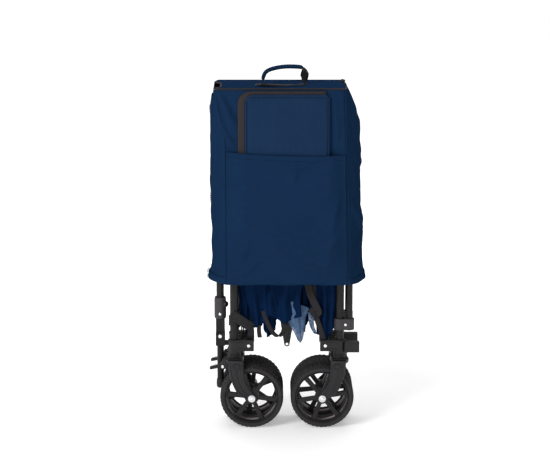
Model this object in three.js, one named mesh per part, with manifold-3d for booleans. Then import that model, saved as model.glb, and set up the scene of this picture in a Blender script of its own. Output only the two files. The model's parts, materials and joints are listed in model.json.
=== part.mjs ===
// A four-way folding wagon with a pull handle, folded upright under its cover bag.
// Millimetres. +Z is up, -X is the front (pull handle), -Y is the near side, +Y the far side.
// The origin is on the ground, at the middle of the folded wagon.
import * as THREE from "three";
import { mergeVertices } from "three/addons/utils/BufferGeometryUtils.js";
import Module from "manifold-3d";

const wasm = await Module();
wasm.setup();

// ---------- Driving dimensions ----------
const GAP = 0.4; // between pieces that seat on each other
const RUNNING = 0.35; // radial clearance of a pin in its hole

const WHEEL_R = 80;
const TYRE_WIDTH = 50;
const TYRE_HEIGHT = 14; // from the rim seat to the tread
const TYRE_FACETS = 28;
const TREAD_ROUND = 7; // width of the slope between tread and side wall
const SIDE_SLOPE = 7; // and its height
const RIM_WALL = 5;
const RIM_WIDTH = 44;
const SPOKES = 6;
const SPOKE_WIDTH = 11;
const SPOKE_DEPTH = 12;
const SPOKE_FLARE = 9; // length over which a spoke widens into the rim
const SPOKE_INSET = 3; // from the rim's edge to the spokes
const HUB_R = 14;
const AXLE_R = 4;
const BOLT_HEAD = 4; // height of the head, and 1 mm more than its overhang
const WHEELS_APART_Y = 24; // between the near and the far tyre when folded
const WHEELS_APART_X = 17; // between the front and the rear tyre when folded

const TRAIL = 43.5; // from the swivel axis to the axle
const FORK_CLEARANCE = 2.5;
const FORK_ARM = 7;
const FORK_BOSS = 9; // wall round the axle hole
const CROWN_GAP = 8;
const CROWN_HEIGHT = 10;
const CROWN_HALF = 24;
const STEM_R = 6;
const STEM_HEIGHT = 22;

const POST_R = 10.5;
const TUBE_WALL = 1.4;
const HOUSING_R = 15;
const HOUSING_HEIGHT = 44;
const HOUSING_GAP = 4;
const SPIGOT_HEIGHT = 26; // of the spigot that fills a post's foot
const ARM_DEPTH = 18; // thickness of the bracket arm that carries a side bar
const ARM_HEIGHT = 28;
const ARM_MARGIN = 6; // beyond the side bars' rounded ends
const BLOCK_LENGTH = 34; // the block behind a rear housing
const BLOCK_ABOVE = 9; // its reach over and under the pivot
const BLOCK_BELOW = 17;
const PIVOT_REACH = 36; // from the post axis to the side bars' pivot
const SLEEVE_HEIGHT = 34;
const SLEEVE_CLEARANCE = 0.6;
const POST_ABOVE_SLEEVE = 19;

const BAR_LENGTH = 595; // between the pivots of a side bar
const BAR_WIDTH = 14;
const BAR_THICK = 3;
const LAYER_GAP = 1;
const PIN_R = 3;
const RIVET_R = 5;
const RIVET_HEIGHT = 1.5;
const END_PIVOT_INSET = 25; // from the post plane inwards to the end bars' pivot

const PEDAL_WIDTH = 10;
const PEDAL_LENGTH = 34;
const PEDAL_THICK = 7;
const PEDAL_OFFSET = 29; // from the swivel axis to the pedal pivot
const PEDAL_EAR = 3;
const PEDAL_DROP = 12; // from the crown down to the pedal pivot
const PEDAL_HEEL = 10; // behind the pivot
const PEDAL_BEND = 5; // how far the toe drops

const HANDLE_OFFSET = 36; // from the front posts to the pull handle
const HANDLE_R = 9.5;
const HANDLE_CLEARANCE = 0.5;
const HANDLE_DROP = 126; // how far the stem hangs below the pivot
const OUTER_TUBE = 325;
const INNER_TUBE = 522;
const GRIP_WIDTH = 100;
const GRIP_HEIGHT = 52;
const GRIP_BAR = 15;
const KNUCKLE_HEIGHT = 58;
const KNUCKLE_WALL = 1.5;
const FOOT_HEIGHT = 14;
const MOUNT_HEIGHT = 10; // the block that carries the handle's pivot ears
const MOUNT_EAR = 4;

const POLE_R = 8;
const POLE_OFFSET = 24; // from the rear posts to the canopy poles
const POLE_LENGTH = 440;
const CLIP_HEIGHT = 28;
const CLIP_WALL = 3;

const TUB_ABOVE_PIVOT = 24;
const TUB_ABOVE_SLEEVE = 8;
const TUB_THICK = 11; // the folded side cloth
const TUB_END = 16; // and the folded end cloth
const BAND_HEIGHT = 36;
const BAND_THICK = 2.2;

const CLOTH = 2.5; // thickness of a cover panel
const COVER_HEIGHT = 481;
const COVER_HEADROOM = 26; // from the post tops to the cover's top
const COVER_SIDE_ROOM = 29; // from the pull handle's axis to the cover's outside
const COVER_BULGE = 47;
const COVER_BACK_ROOM = 73; // from the post plane to the back panel's outside
const COVER_FRONT_ROOM = 58; // from the post plane to the front panel's outside
const GRIP_SLOT = 20; // the left panel stops this far below the top
const MAT_WIDTH = 198;
const MAT_HEIGHT = 386;
const MAT_THICK = 12;
const MAT_BELOW_TOP = 16;
const POCKET_HEIGHT = 326;
const CARRY_LENGTH = 112;
const CARRY_HEIGHT = 46;
const CARRY_WIDTH = 25;
const CARRY_GRIP = 9;
const CARRY_STRAP = 3;
const CARRY_X = -8;
const CARRY_Y = 40;
const POCKET_THICK = 2.2;
const REAR_TAPER = 19; // the rear end draws in by this much towards the top

// ---------- Derived places ----------
const TRACK = (WHEELS_APART_Y + TYRE_WIDTH) / 2; // post plane and wheel plane
const AXLE_X = WHEEL_R + WHEELS_APART_X / 2;
const AXLE_Z = WHEEL_R * Math.cos(Math.PI / TYRE_FACETS); // a tread facet lies on the ground
const POST_X = AXLE_X + TRAIL;
const CROWN_Z = AXLE_Z + WHEEL_R + CROWN_GAP;
const CROWN_TOP = CROWN_Z + CROWN_HEIGHT;
const HOUSING_Z = CROWN_TOP + HOUSING_GAP;
const HOUSING_TOP = HOUSING_Z + HOUSING_HEIGHT;
const PIVOT_Z = HOUSING_TOP - ARM_HEIGHT / 2;
const PIVOT_X = POST_X - PIVOT_REACH;
const BAR_RISE = Math.sqrt(BAR_LENGTH ** 2 - PIVOT_X ** 2);
const TOP_Z = PIVOT_Z + BAR_RISE;
const POST_TOP = TOP_Z + SLEEVE_HEIGHT / 2 + POST_ABOVE_SLEEVE;
const BAR_R = BAR_WIDTH / 2;
const HOLE_R = PIN_R + RUNNING;
const ARM_Y = TRACK - BAR_THICK; // inner face of a bracket arm, just outside the side bars
const OUTER_LAYER = ARM_Y - LAYER_GAP - BAR_THICK;
const INNER_LAYER = OUTER_LAYER - LAYER_GAP - BAR_THICK;
const END_PIVOT_Y = TRACK - END_PIVOT_INSET;
const EAR_X = POST_X - HOUSING_R - GAP;
const OUTER_END_LAYER = EAR_X - LAYER_GAP - BAR_THICK;
const INNER_END_LAYER = OUTER_END_LAYER - LAYER_GAP - BAR_THICK;
const PEDAL_Z = CROWN_Z - PEDAL_DROP;
const PEDAL_X = POST_X + PEDAL_OFFSET;
const POLE_X = POST_X + POLE_OFFSET;
const CLIP_Z = HOUSING_TOP + SPIGOT_HEIGHT;
const HANDLE_X = -(POST_X + HANDLE_OFFSET);
const FORK_HALF = TYRE_WIDTH / 2 + FORK_CLEARANCE + FORK_ARM;
const COVER_TOP = POST_TOP + COVER_HEADROOM;
const COVER_HEM = COVER_TOP - COVER_HEIGHT;
const COVER_HALF = -HANDLE_X + COVER_SIDE_ROOM;
const COVER_FRONT = -(TRACK + COVER_FRONT_ROOM);
const COVER_BACK = TRACK + COVER_BACK_ROOM;

// ---------- Materials ----------
const finish = (color, roughness, metalness) =>
  new THREE.MeshStandardMaterial({ color, roughness, metalness });
const blackPaint = finish(0x1d1b1e, 0.4, 0.6);
const blackPlastic = finish(0x242226, 0.55, 0);
const rubber = finish(0x2b292c, 0.85, 0);
const zinc = finish(0xc4c4cb, 0.35, 1);
const navyCloth = finish(0x182c47, 0.9, 0);
const darkNavy = finish(0x0d1a33, 0.9, 0);
const webbing = finish(0x232127, 0.9, 0);

// ---------- Solids ----------
function toManifold(geometry) {
  const plain = geometry.index ? geometry.toNonIndexed() : geometry.clone();
  plain.deleteAttribute("normal");
  plain.deleteAttribute("uv");
  const merged = mergeVertices(plain, 1e-3);
  return new wasm.Manifold(new wasm.Mesh({
    numProp: 3,
    vertProperties: merged.attributes.position.array,
    triVerts: new Uint32Array(merged.index.array),
  }));
}

function toGeometry(manifold) {
  const mesh = manifold.getMesh();
  const geometry = new THREE.BufferGeometry();
  geometry.setAttribute("position", new THREE.BufferAttribute(mesh.vertProperties, 3));
  geometry.setIndex(new THREE.BufferAttribute(mesh.triVerts, 1));
  return geometry.toNonIndexed();
}

function join(...geometries) {
  const solids = geometries.map(toManifold);
  return toGeometry(solids.reduce((whole, next) => whole.add(next)));
}

function cut(geometry, ...tools) {
  const solids = tools.map(toManifold);
  return toGeometry(solids.reduce((whole, next) => whole.subtract(next), toManifold(geometry)));
}

function box([x0, x1], [y0, y1], [z0, z1]) {
  const geometry = new THREE.BoxGeometry(x1 - x0, y1 - y0, z1 - z0);
  return geometry.translate((x0 + x1) / 2, (y0 + y1) / 2, (z0 + z1) / 2);
}

// A round bar along Z, X or Y.
function rodZ(x, y, [z0, z1], radius, sides = 16) {
  const geometry = new THREE.CylinderGeometry(radius, radius, z1 - z0, sides);
  return geometry.rotateX(Math.PI / 2).translate(x, y, (z0 + z1) / 2);
}

function rodX([x0, x1], y, z, radius, sides = 10) {
  const geometry = new THREE.CylinderGeometry(radius, radius, x1 - x0, sides);
  return geometry.rotateZ(-Math.PI / 2).translate((x0 + x1) / 2, y, z);
}

function rodY(x, [y0, y1], z, radius, sides = 10) {
  const geometry = new THREE.CylinderGeometry(radius, radius, y1 - y0, sides);
  return geometry.translate(x, (y0 + y1) / 2, z);
}

// A ring-shaped solid of revolution about Z; the profile is a closed list of [radius, height].
function ring(profile, segments) {
  const points = [...profile, profile[0]].map(([r, h]) => new THREE.Vector2(r, h));
  return new THREE.LatheGeometry(points, segments).rotateX(Math.PI / 2);
}

function tubeZ(x, y, [z0, z1], radius, wall, sides = 16) {
  const inner = radius - wall;
  const profile = [[inner, z0], [radius, z0], [radius, z1], [inner, z1]];
  return ring(profile, sides).translate(x, y, 0);
}

// Extrudes an outline drawn in X and Z along Y, or one drawn in Y and Z along X.
function plateY(shape, [y0, y1], curveSegments = 4) {
  const options = { depth: y1 - y0, bevelEnabled: false, curveSegments };
  return new THREE.ExtrudeGeometry(shape, options).rotateX(Math.PI / 2).translate(0, y1, 0);
}

function plateX(shape, [x0, x1], curveSegments = 4) {
  const options = { depth: x1 - x0, bevelEnabled: false, curveSegments };
  const geometry = new THREE.ExtrudeGeometry(shape, options);
  return geometry.rotateX(Math.PI / 2).rotateZ(Math.PI / 2).translate(x0, 0, 0);
}

// A flat bar's outline from its pivot, which has a hole, to its free end.
function barShape([u0, z0], [u1, z1]) {
  const angle = Math.atan2(z1 - z0, u1 - u0);
  const quarter = Math.PI / 2;
  const shape = new THREE.Shape();
  shape.absarc(u0, z0, BAR_R, angle + quarter, angle + 3 * quarter, false);
  shape.absarc(u1, z1, BAR_R, angle - quarter, angle + quarter, false);
  shape.closePath();
  const hole = new THREE.Path();
  hole.absarc(u0, z0, HOLE_R, 0, 2 * Math.PI, true);
  shape.holes.push(hole);
  return shape;
}

// A closed sheet between two grids of points, outer(u, v) and inner(u, v), u and v from 0 to 1.
function sheet(outer, inner, across, along) {
  const positions = [];
  const columns = along + 1;
  const count = (across + 1) * columns;
  for (const side of [outer, inner]) {
    for (let i = 0; i <= across; i++) {
      for (let j = 0; j <= along; j++) positions.push(...side(i / across, j / along));
    }
  }
  const index = [];
  const quad = (a, b, c, d) => index.push(a, b, c, a, c, d);
  for (let i = 0; i < across; i++) {
    for (let j = 0; j < along; j++) {
      const a = i * columns + j;
      const b = a + columns;
      quad(a, b, b + 1, a + 1);
      quad(a + count, a + 1 + count, b + 1 + count, b + count);
    }
  }
  for (let i = 0; i < across; i++) {
    const low = i * columns;
    const high = low + along;
    quad(low, low + count, low + columns + count, low + columns);
    quad(high, high + columns, high + columns + count, high + count);
  }
  for (let j = 0; j < along; j++) {
    const last = across * columns + j;
    quad(j, j + 1, j + 1 + count, j + count);
    quad(last, last + count, last + 1 + count, last + 1);
  }
  const geometry = new THREE.BufferGeometry();
  geometry.setAttribute("position", new THREE.Float32BufferAttribute(positions, 3));
  geometry.setIndex(index);
  const flat = geometry.toNonIndexed();
  if (toManifold(flat).volume() > 0) return flat;
  geometry.setIndex(index.reverse());
  return geometry.toNonIndexed();
}

// ---------- The assembly ----------
const wagon = new THREE.Group();

function add(parent, name, geometry, material) {
  const mesh = new THREE.Mesh(geometry, material);
  mesh.name = name;
  parent.add(mesh);
  return mesh;
}

// Corner pieces are drawn in the rear-far quarter and mirrored into the other three.
const CORNERS = [
  { name: "rear_near", sx: 1, sy: -1 },
  { name: "front_near", sx: -1, sy: -1 },
  { name: "rear_far", sx: 1, sy: 1 },
  { name: "front_far", sx: -1, sy: 1 },
];

function armAndEar(z, height) {
  const zs = [z - height / 2, z + height / 2];
  const arm = box([PIVOT_X - BAR_R - ARM_MARGIN, POST_X], [ARM_Y, ARM_Y + ARM_DEPTH], zs);
  const ear = box([EAR_X, POST_X], [END_PIVOT_Y - BAR_R - LAYER_GAP, TRACK], [zs[0] + 2, zs[1] - 2]);
  const pin = rodY(PIVOT_X, [INNER_LAYER - LAYER_GAP / 2, ARM_Y + 1], z, PIN_R);
  return [arm, ear, pin];
}

function bracket() {
  const housing = rodZ(POST_X, TRACK, [HOUSING_Z, HOUSING_TOP], HOUSING_R);
  const spigot = rodZ(POST_X, TRACK, [HOUSING_TOP - 1, HOUSING_TOP + SPIGOT_HEIGHT], POST_R - TUBE_WALL - GAP, 16);
  const endPin = rodX([INNER_END_LAYER - LAYER_GAP / 2, EAR_X + 1], END_PIVOT_Y, PIVOT_Z, PIN_R);
  const bore = [HOUSING_Z - 1, CROWN_TOP + STEM_HEIGHT + GAP];
  const solid = join(housing, ...armAndEar(PIVOT_Z, ARM_HEIGHT), spigot, endPin);
  return cut(solid, rodZ(POST_X, TRACK, bore, STEM_R + RUNNING, 16));
}

function sleeve() {
  const zs = [TOP_Z - SLEEVE_HEIGHT / 2, TOP_Z + SLEEVE_HEIGHT / 2];
  const solid = join(rodZ(POST_X, TRACK, zs, HOUSING_R), ...armAndEar(TOP_Z, ARM_HEIGHT));
  return cut(solid, rodZ(POST_X, TRACK, [zs[0] - 1, zs[1] + 1], POST_R + SLEEVE_CLEARANCE));
}

// One arm of a fork, from the crown down to the axle boss.
function forkArmShape() {
  const bossR = AXLE_R + FORK_BOSS;
  const shape = new THREE.Shape();
  shape.moveTo(POST_X + 6, CROWN_TOP);
  shape.quadraticCurveTo(POST_X + 5, AXLE_Z + 30, AXLE_X + bossR, AXLE_Z);
  shape.absarc(AXLE_X, AXLE_Z, bossR, 0, -Math.PI * 1.25, true);
  shape.quadraticCurveTo(POST_X - 24, AXLE_Z + 42, POST_X - 18, CROWN_TOP);
  shape.closePath();
  return shape;
}

function fork(withPedal) {
  const crownShape = new THREE.Shape();
  crownShape.absellipse(POST_X, TRACK, CROWN_HALF, FORK_HALF, 0, 2 * Math.PI, false, 0);
  const options = { depth: CROWN_HEIGHT, bevelEnabled: false, curveSegments: 10 };
  const crown = new THREE.ExtrudeGeometry(crownShape, options).translate(0, 0, CROWN_Z);
  const stem = rodZ(POST_X, TRACK, [CROWN_TOP - 1, CROWN_TOP + STEM_HEIGHT], STEM_R, 16);
  const collar = rodZ(POST_X, TRACK, [CROWN_TOP - 1, HOUSING_Z - GAP], HOUSING_R - 2);
  const shape = forkArmShape();
  const outer = plateY(shape, [TRACK + FORK_HALF - FORK_ARM, TRACK + FORK_HALF]);
  const inner = plateY(shape, [TRACK - FORK_HALF, TRACK - FORK_HALF + FORK_ARM]);
  const pieces = [crown, stem, collar, outer, inner];
  if (withPedal) pieces.push(...pedalEars());
  const axleHole = rodY(AXLE_X, [TRACK - FORK_HALF - 1, TRACK + FORK_HALF + 1], AXLE_Z, AXLE_R + RUNNING);
  return cut(join(...pieces), axleHole);
}

function pedalEars() {
  const inside = PEDAL_WIDTH / 2 + GAP;
  const xs = [POST_X + 14, PEDAL_X + 5];
  const zs = [PEDAL_Z - 6, CROWN_TOP];
  const pin = rodY(PEDAL_X, [TRACK - inside - 1, TRACK + inside + 1], PEDAL_Z, PIN_R);
  const ears = [-1, 1].map((side) => {
    const ys = [TRACK + side * inside, TRACK + side * (inside + PEDAL_EAR)];
    return box(xs, ys.sort((a, b) => a - b), zs);
  });
  const bridge = box(xs, [TRACK - inside, TRACK + inside], [PEDAL_Z + PEDAL_THICK, CROWN_TOP]);
  return [...ears, bridge, pin];
}

const TOE_ARC = [-Math.PI / 2, Math.PI / 2, false];

function pedal() {
  const shape = new THREE.Shape();
  const half = PEDAL_THICK / 2;
  shape.moveTo(PEDAL_X - PEDAL_HEEL, PEDAL_Z - half);
  shape.lineTo(PEDAL_X + 6, PEDAL_Z - half);
  shape.lineTo(PEDAL_X + PEDAL_LENGTH - half, PEDAL_Z - half - PEDAL_BEND);
  shape.absarc(PEDAL_X + PEDAL_LENGTH - half, PEDAL_Z - PEDAL_BEND, half, ...TOE_ARC);
  shape.lineTo(PEDAL_X + 6, PEDAL_Z + half);
  shape.lineTo(PEDAL_X - PEDAL_HEEL, PEDAL_Z + half);
  shape.closePath();
  const hole = new THREE.Path();
  hole.absarc(PEDAL_X, PEDAL_Z, HOLE_R, 0, 2 * Math.PI, true);
  shape.holes.push(hole);
  return plateY(shape, [TRACK - PEDAL_WIDTH / 2, TRACK + PEDAL_WIDTH / 2]);
}

function axleBolt() {
  const outside = TRACK + FORK_HALF;
  const shank = rodY(AXLE_X, [TRACK - FORK_HALF + 1, outside + 1], AXLE_Z, AXLE_R);
  return join(shank, rodY(AXLE_X, [outside + GAP, outside + GAP + BOLT_HEAD], AXLE_Z, AXLE_R + BOLT_HEAD - 1));
}

// Side bars: "lower" starts at the bracket, "upper" at the sleeve; both end over the middle.
function sideBar(from, to, layer, rivetSide) {
  const ys = [layer, layer + BAR_THICK];
  const plate = plateY(barShape([PIVOT_X, from], [0, to]), ys);
  const rivetY = rivetSide > 0 ? [ys[1] - 1, ys[1] + RIVET_HEIGHT] : [ys[0] - RIVET_HEIGHT, ys[0] + 1];
  const spots = [[0, to], [PIVOT_X / 2, (from + to) / 2]];
  return join(plate, ...spots.map(([x, z]) => rodY(x, rivetY, z, RIVET_R)));
}

// End bars lean across from one post's foot to the other post's sleeve.
function endBar(layer, rivetSide) {
  const xs = [layer, layer + BAR_THICK];
  const plate = plateX(barShape([END_PIVOT_Y, PIVOT_Z], [-END_PIVOT_Y, TOP_Z]), xs);
  const rivetX = rivetSide > 0 ? [xs[1] - 1, xs[1] + LAYER_GAP / 2] : [xs[0] - RIVET_HEIGHT, xs[0] + 1];
  return join(plate, rodX(rivetX, -END_PIVOT_Y, TOP_Z, RIVET_R));
}

// A canopy pole stowed beside a rear post, with the clip that holds it there.
function canopyPole() {
  const tube = tubeZ(POLE_X, TRACK, [CLIP_Z - 2, CLIP_Z - 2 + POLE_LENGTH], POLE_R, TUBE_WALL, 16);
  const zs = [CLIP_Z, CLIP_Z + CLIP_HEIGHT];
  const around = join(
    rodZ(POST_X, TRACK, zs, POST_R + CLIP_WALL),
    rodZ(POLE_X, TRACK, zs, POLE_R + CLIP_WALL, 16),
    box([POST_X, POLE_X], [TRACK - 2 * CLIP_WALL, TRACK + 2 * CLIP_WALL], zs),
  );
  const postHole = rodZ(POST_X, TRACK, [zs[0] - 1, zs[1] + 1], POST_R + GAP);
  const poleHole = rodZ(POLE_X, TRACK, [zs[0] - 1, zs[1] + 1], POLE_R - TUBE_WALL / 2, 16);
  return join(cut(around, postHole, poleHole), tube);
}

// The block behind a rear bracket that closes its outer side.
function rearBlock() {
  const xs = [POST_X + HOUSING_R - 3, POST_X + HOUSING_R + BLOCK_LENGTH];
  return box(xs, [ARM_Y, ARM_Y + ARM_DEPTH], [PIVOT_Z - BLOCK_BELOW, PIVOT_Z + BLOCK_ABOVE]);
}

for (const { name, sx, sy } of CORNERS) {
  const rear = sx > 0;
  const corner = new THREE.Group();
  corner.scale.set(sx, sy, 1);
  wagon.add(corner);
  const posts = tubeZ(POST_X, TRACK, [HOUSING_TOP + GAP, POST_TOP], POST_R, TUBE_WALL);
  add(corner, name + "_post", posts, blackPaint);
  add(corner, name + "_bracket", rear ? join(bracket(), rearBlock()) : bracket(), blackPlastic);
  add(corner, name + "_sleeve", sleeve(), blackPlastic);
  add(corner, name + "_fork", fork(!rear), blackPlastic);
  add(corner, name + "_axle_bolt", axleBolt(), zinc);
  const lower = rear ? [OUTER_LAYER, 1] : [INNER_LAYER, -1];
  const upper = rear ? [INNER_LAYER, -1] : [OUTER_LAYER, 1];
  add(corner, name + "_lower_bar", sideBar(PIVOT_Z, TOP_Z, ...lower), blackPaint);
  add(corner, name + "_upper_bar", sideBar(TOP_Z, PIVOT_Z, ...upper), blackPaint);
  const end = sy < 0 ? [OUTER_END_LAYER, 1] : [INNER_END_LAYER, -1];
  add(corner, name + "_end_bar", endBar(...end), blackPaint);
  if (rear) add(corner, name.replace("rear", "canopy_pole"), canopyPole(), blackPaint);
  else add(corner, name + "_brake_pedal", pedal(), blackPlastic);
}

// ---------- Wheels ----------
function tyre() {
  const half = TYRE_WIDTH / 2;
  const seat = WHEEL_R - TYRE_HEIGHT;
  const shoulder = WHEEL_R - SIDE_SLOPE;
  const tread = half - TREAD_ROUND;
  const profile = [
    [seat, -half], [shoulder, -half], [WHEEL_R, -tread],
    [WHEEL_R, tread], [shoulder, half], [seat, half],
  ];
  return ring(profile, TYRE_FACETS);
}

// The rim: a barrel with spokes near its -Y face and a hub through the middle.
function rim() {
  const outer = WHEEL_R - TYRE_HEIGHT - GAP;
  const inner = outer - RIM_WALL;
  const half = RIM_WIDTH / 2;
  const barrel = ring([[inner, -half], [outer, -half], [outer, half], [inner, half]], TYRE_FACETS);
  const hub = rodZ(0, 0, [-TYRE_WIDTH / 2, TYRE_WIDTH / 2], HUB_R);
  const face = [half - SPOKE_INSET - SPOKE_DEPTH, half - SPOKE_INSET];
  const spokes = [];
  for (let i = 0; i < SPOKES; i++) {
    const spoke = new THREE.Shape();
    const halfHub = SPOKE_WIDTH / 2;
    const halfRim = SPOKE_WIDTH * 0.85;
    spoke.moveTo(HUB_R - 3, -halfHub);
    spoke.lineTo(inner - SPOKE_FLARE, -halfHub);
    spoke.lineTo(inner + 2, -halfRim);
    spoke.lineTo(inner + 2, halfRim);
    spoke.lineTo(inner - SPOKE_FLARE, halfHub);
    spoke.lineTo(HUB_R - 3, halfHub);
    spoke.closePath();
    const options = { depth: face[1] - face[0], bevelEnabled: false };
    const solid = new THREE.ExtrudeGeometry(spoke, options).translate(0, 0, face[0]);
    spokes.push(solid.rotateZ((i * 2 * Math.PI) / SPOKES));
  }
  const bore = rodZ(0, 0, [-TYRE_WIDTH, TYRE_WIDTH], AXLE_R + RUNNING, 16);
  return cut(join(barrel, hub, ...spokes), bore);
}

// Every wheel is the same part; TURN is the angle at which its spokes have come to rest.
const TURN = { rear_near: 50, front_near: 7, rear_far: 55, front_far: 37 };

for (const { name, sx, sy } of CORNERS) {
  const place = (geometry, turn) => {
    geometry.rotateZ(turn).rotateX(Math.PI / 2);
    return geometry.translate(sx * AXLE_X, sy * TRACK, AXLE_Z);
  };
  const facet = Math.PI / TYRE_FACETS;
  add(wagon, name + "_tyre", place(tyre(), facet), rubber);
  add(wagon, name + "_rim", place(rim(), THREE.MathUtils.degToRad(TURN[name])), blackPlastic);
}

// ---------- Pull handle ----------
const HANDLE_PIVOT_Z = HOUSING_TOP;
const KNUCKLE_Y = HANDLE_R;
const KNUCKLE_TOP = HANDLE_PIVOT_Z + KNUCKLE_HEIGHT - HANDLE_R;

function handleStem() {
  const base = HANDLE_PIVOT_Z - HANDLE_R - 5;
  const foot = HANDLE_PIVOT_Z - HANDLE_R - HANDLE_DROP;
  const inside = KNUCKLE_Y + GAP;
  const tube = rodZ(HANDLE_X, 0, [foot, base], HANDLE_R - 1);
  const cap = rodZ(HANDLE_X, 0, [foot, foot + FOOT_HEIGHT], HANDLE_R);
  const xs = [HANDLE_X - HANDLE_R - 2, HANDLE_X + HANDLE_R + 2];
  const outside = inside + MOUNT_EAR;
  const block = box(xs, [-outside, outside], [base - MOUNT_HEIGHT, base]);
  const ears = [-1, 1].map((side) => {
    const ys = [side * inside, side * outside].sort((a, b) => a - b);
    return box(xs, ys, [base - 1, HANDLE_PIVOT_Z + HANDLE_R]);
  });
  const reach = box([xs[1] - 1, -POST_X], [-BAR_R, BAR_R], [base - MOUNT_HEIGHT, base]);
  const pin = rodY(HANDLE_X, [-inside - 1, inside + 1], HANDLE_PIVOT_Z, PIN_R);
  return join(tube, cap, block, ...ears, reach, pin);
}

function handleTube() {
  const outside = HANDLE_R + KNUCKLE_WALL;
  const xs = [HANDLE_X - outside, HANDLE_X + outside];
  const low = HANDLE_PIVOT_Z - HANDLE_R;
  const knuckle = join(
    box(xs, [-KNUCKLE_Y, KNUCKLE_Y], [HANDLE_PIVOT_Z, KNUCKLE_TOP]),
    rodY(HANDLE_X, [-KNUCKLE_Y, KNUCKLE_Y], HANDLE_PIVOT_Z, outside, 16),
  );
  const outer = rodZ(HANDLE_X, 0, [KNUCKLE_TOP - 1, KNUCKLE_TOP + OUTER_TUBE], HANDLE_R);
  const bore = rodZ(HANDLE_X, 0, [low + 30, KNUCKLE_TOP + OUTER_TUBE + 1], HANDLE_R - TUBE_WALL);
  const pinHole = rodY(HANDLE_X, [-2 * HANDLE_R, 2 * HANDLE_R], HANDLE_PIVOT_Z, HOLE_R);
  return cut(join(knuckle, outer), bore, pinHole);
}

function handleSlide() {
  const low = KNUCKLE_TOP - 5;
  const high = low + INNER_TUBE;
  const radius = HANDLE_R - TUBE_WALL - HANDLE_CLEARANCE;
  const loop = new THREE.Shape();
  const half = GRIP_WIDTH / 2;
  const corner = GRIP_HEIGHT / 2;
  roundedBox(loop, [-half, half], [high, high + GRIP_HEIGHT], corner);
  const gap = new THREE.Path();
  const gapZ = [high + GRIP_BAR, high + GRIP_HEIGHT - GRIP_BAR];
  roundedBox(gap, [-half + GRIP_BAR, half - GRIP_BAR], gapZ, (gapZ[1] - gapZ[0]) / 2);
  loop.holes.push(gap);
  const grip = plateX(loop, [HANDLE_X - GRIP_BAR / 2, HANDLE_X + GRIP_BAR / 2]);
  const tube = tubeZ(HANDLE_X, 0, [low, high + 1], radius, TUBE_WALL);
  return join(tube, grip);
}

function roundedBox(path, [u0, u1], [v0, v1], r) {
  const quarter = Math.PI / 2;
  path.absarc(u1 - r, v0 + r, r, -quarter, 0, false);
  path.absarc(u1 - r, v1 - r, r, 0, quarter, false);
  path.absarc(u0 + r, v1 - r, r, quarter, 2 * quarter, false);
  path.absarc(u0 + r, v0 + r, r, 2 * quarter, 3 * quarter, false);
  path.closePath();
}

add(wagon, "handle_stem", handleStem(), blackPaint);
add(wagon, "handle_tube", handleTube(), blackPaint);
add(wagon, "handle_grip", handleSlide(), blackPlastic);

// ---------- Fabric tub, folded between the bars ----------
const TUB_LOW = PIVOT_Z + TUB_ABOVE_PIVOT;
const TUB_HIGH = TOP_Z + TUB_ABOVE_SLEEVE;
const TUB_Y = INNER_LAYER - RIVET_HEIGHT - LAYER_GAP;
const TUB_X = INNER_END_LAYER - RIVET_HEIGHT - 2 * LAYER_GAP;

for (const [name, side] of [["near", -1], ["far", 1]]) {
  const ys = [side * TUB_Y, side * (TUB_Y - TUB_THICK)].sort((a, b) => a - b);
  add(wagon, "tub_side_" + name, box([-TUB_X, TUB_X], ys, [TUB_LOW, TUB_HIGH]), darkNavy);
}
const TUB_MIDDLE = TUB_Y - TUB_THICK - 2 * LAYER_GAP;
for (const [name, side] of [["front", -1], ["rear", 1]]) {
  const xs = [side * TUB_X, side * (TUB_X - TUB_END)].sort((a, b) => a - b);
  const ys = [-TUB_MIDDLE, TUB_MIDDLE];
  add(wagon, "tub_end_" + name, box(xs, ys, [TUB_LOW, TUB_HIGH]), darkNavy);
}
// The band that ties the tub to the front far post.
const bandZ = [HOUSING_TOP + BAND_HEIGHT / 3, HOUSING_TOP + BAND_HEIGHT * 4 / 3];
const band = tubeZ(-POST_X, TRACK, bandZ, POST_R + GAP + BAND_THICK, BAND_THICK);
add(wagon, "front_far_band", band, webbing);

// ---------- Cover bag ----------
const COVER_MID = (COVER_FRONT + COVER_BACK) / 2;
const COVER_REACH = (COVER_BACK - COVER_FRONT) / 2;
const REAR_SEAM = COVER_HALF - COVER_BULGE + 6;
const FRONT_SEAM = COVER_HALF - COVER_BULGE;

// Half width of the cover, on the rear (+X) or front (-X) side, at depth y and height share v.
function coverHalf(rear, y, v) {
  const round = 1 - ((y - COVER_MID) / COVER_REACH) ** 2;
  const seam = rear ? REAR_SEAM - REAR_TAPER * v : FRONT_SEAM;
  const bulge = COVER_HALF - (rear ? REAR_SEAM : FRONT_SEAM);
  const shrink = rear ? 0.78 : 0.2;
  return seam + bulge * (1 - shrink * v ** 9) * round;
}

function coverSide(rear) {
  const sign = rear ? 1 : -1;
  const y0 = COVER_FRONT + CLOTH + GAP;
  const y1 = COVER_BACK - CLOTH - GAP;
  const height = COVER_HEIGHT - CLOTH - GAP - (rear ? 0 : GRIP_SLOT);
  const point = (inset) => (u, v) => {
    const y = y0 + (y1 - y0) * u;
    const x = coverHalf(rear, y, (v * height) / COVER_HEIGHT) - inset;
    return [sign * x, y, COVER_HEM + v * height];
  };
  return sheet(point(0), point(CLOTH), 6, 6);
}

function coverFace(outside, inside) {
  const height = COVER_HEIGHT - CLOTH - GAP;
  const point = (y) => (u, v) => {
    const left = -coverHalf(false, COVER_FRONT, v);
    const right = coverHalf(true, COVER_FRONT, v);
    return [left + (right - left) * u, y, COVER_HEM + v * height];
  };
  return sheet(point(outside), point(inside), 2, 4);
}

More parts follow.
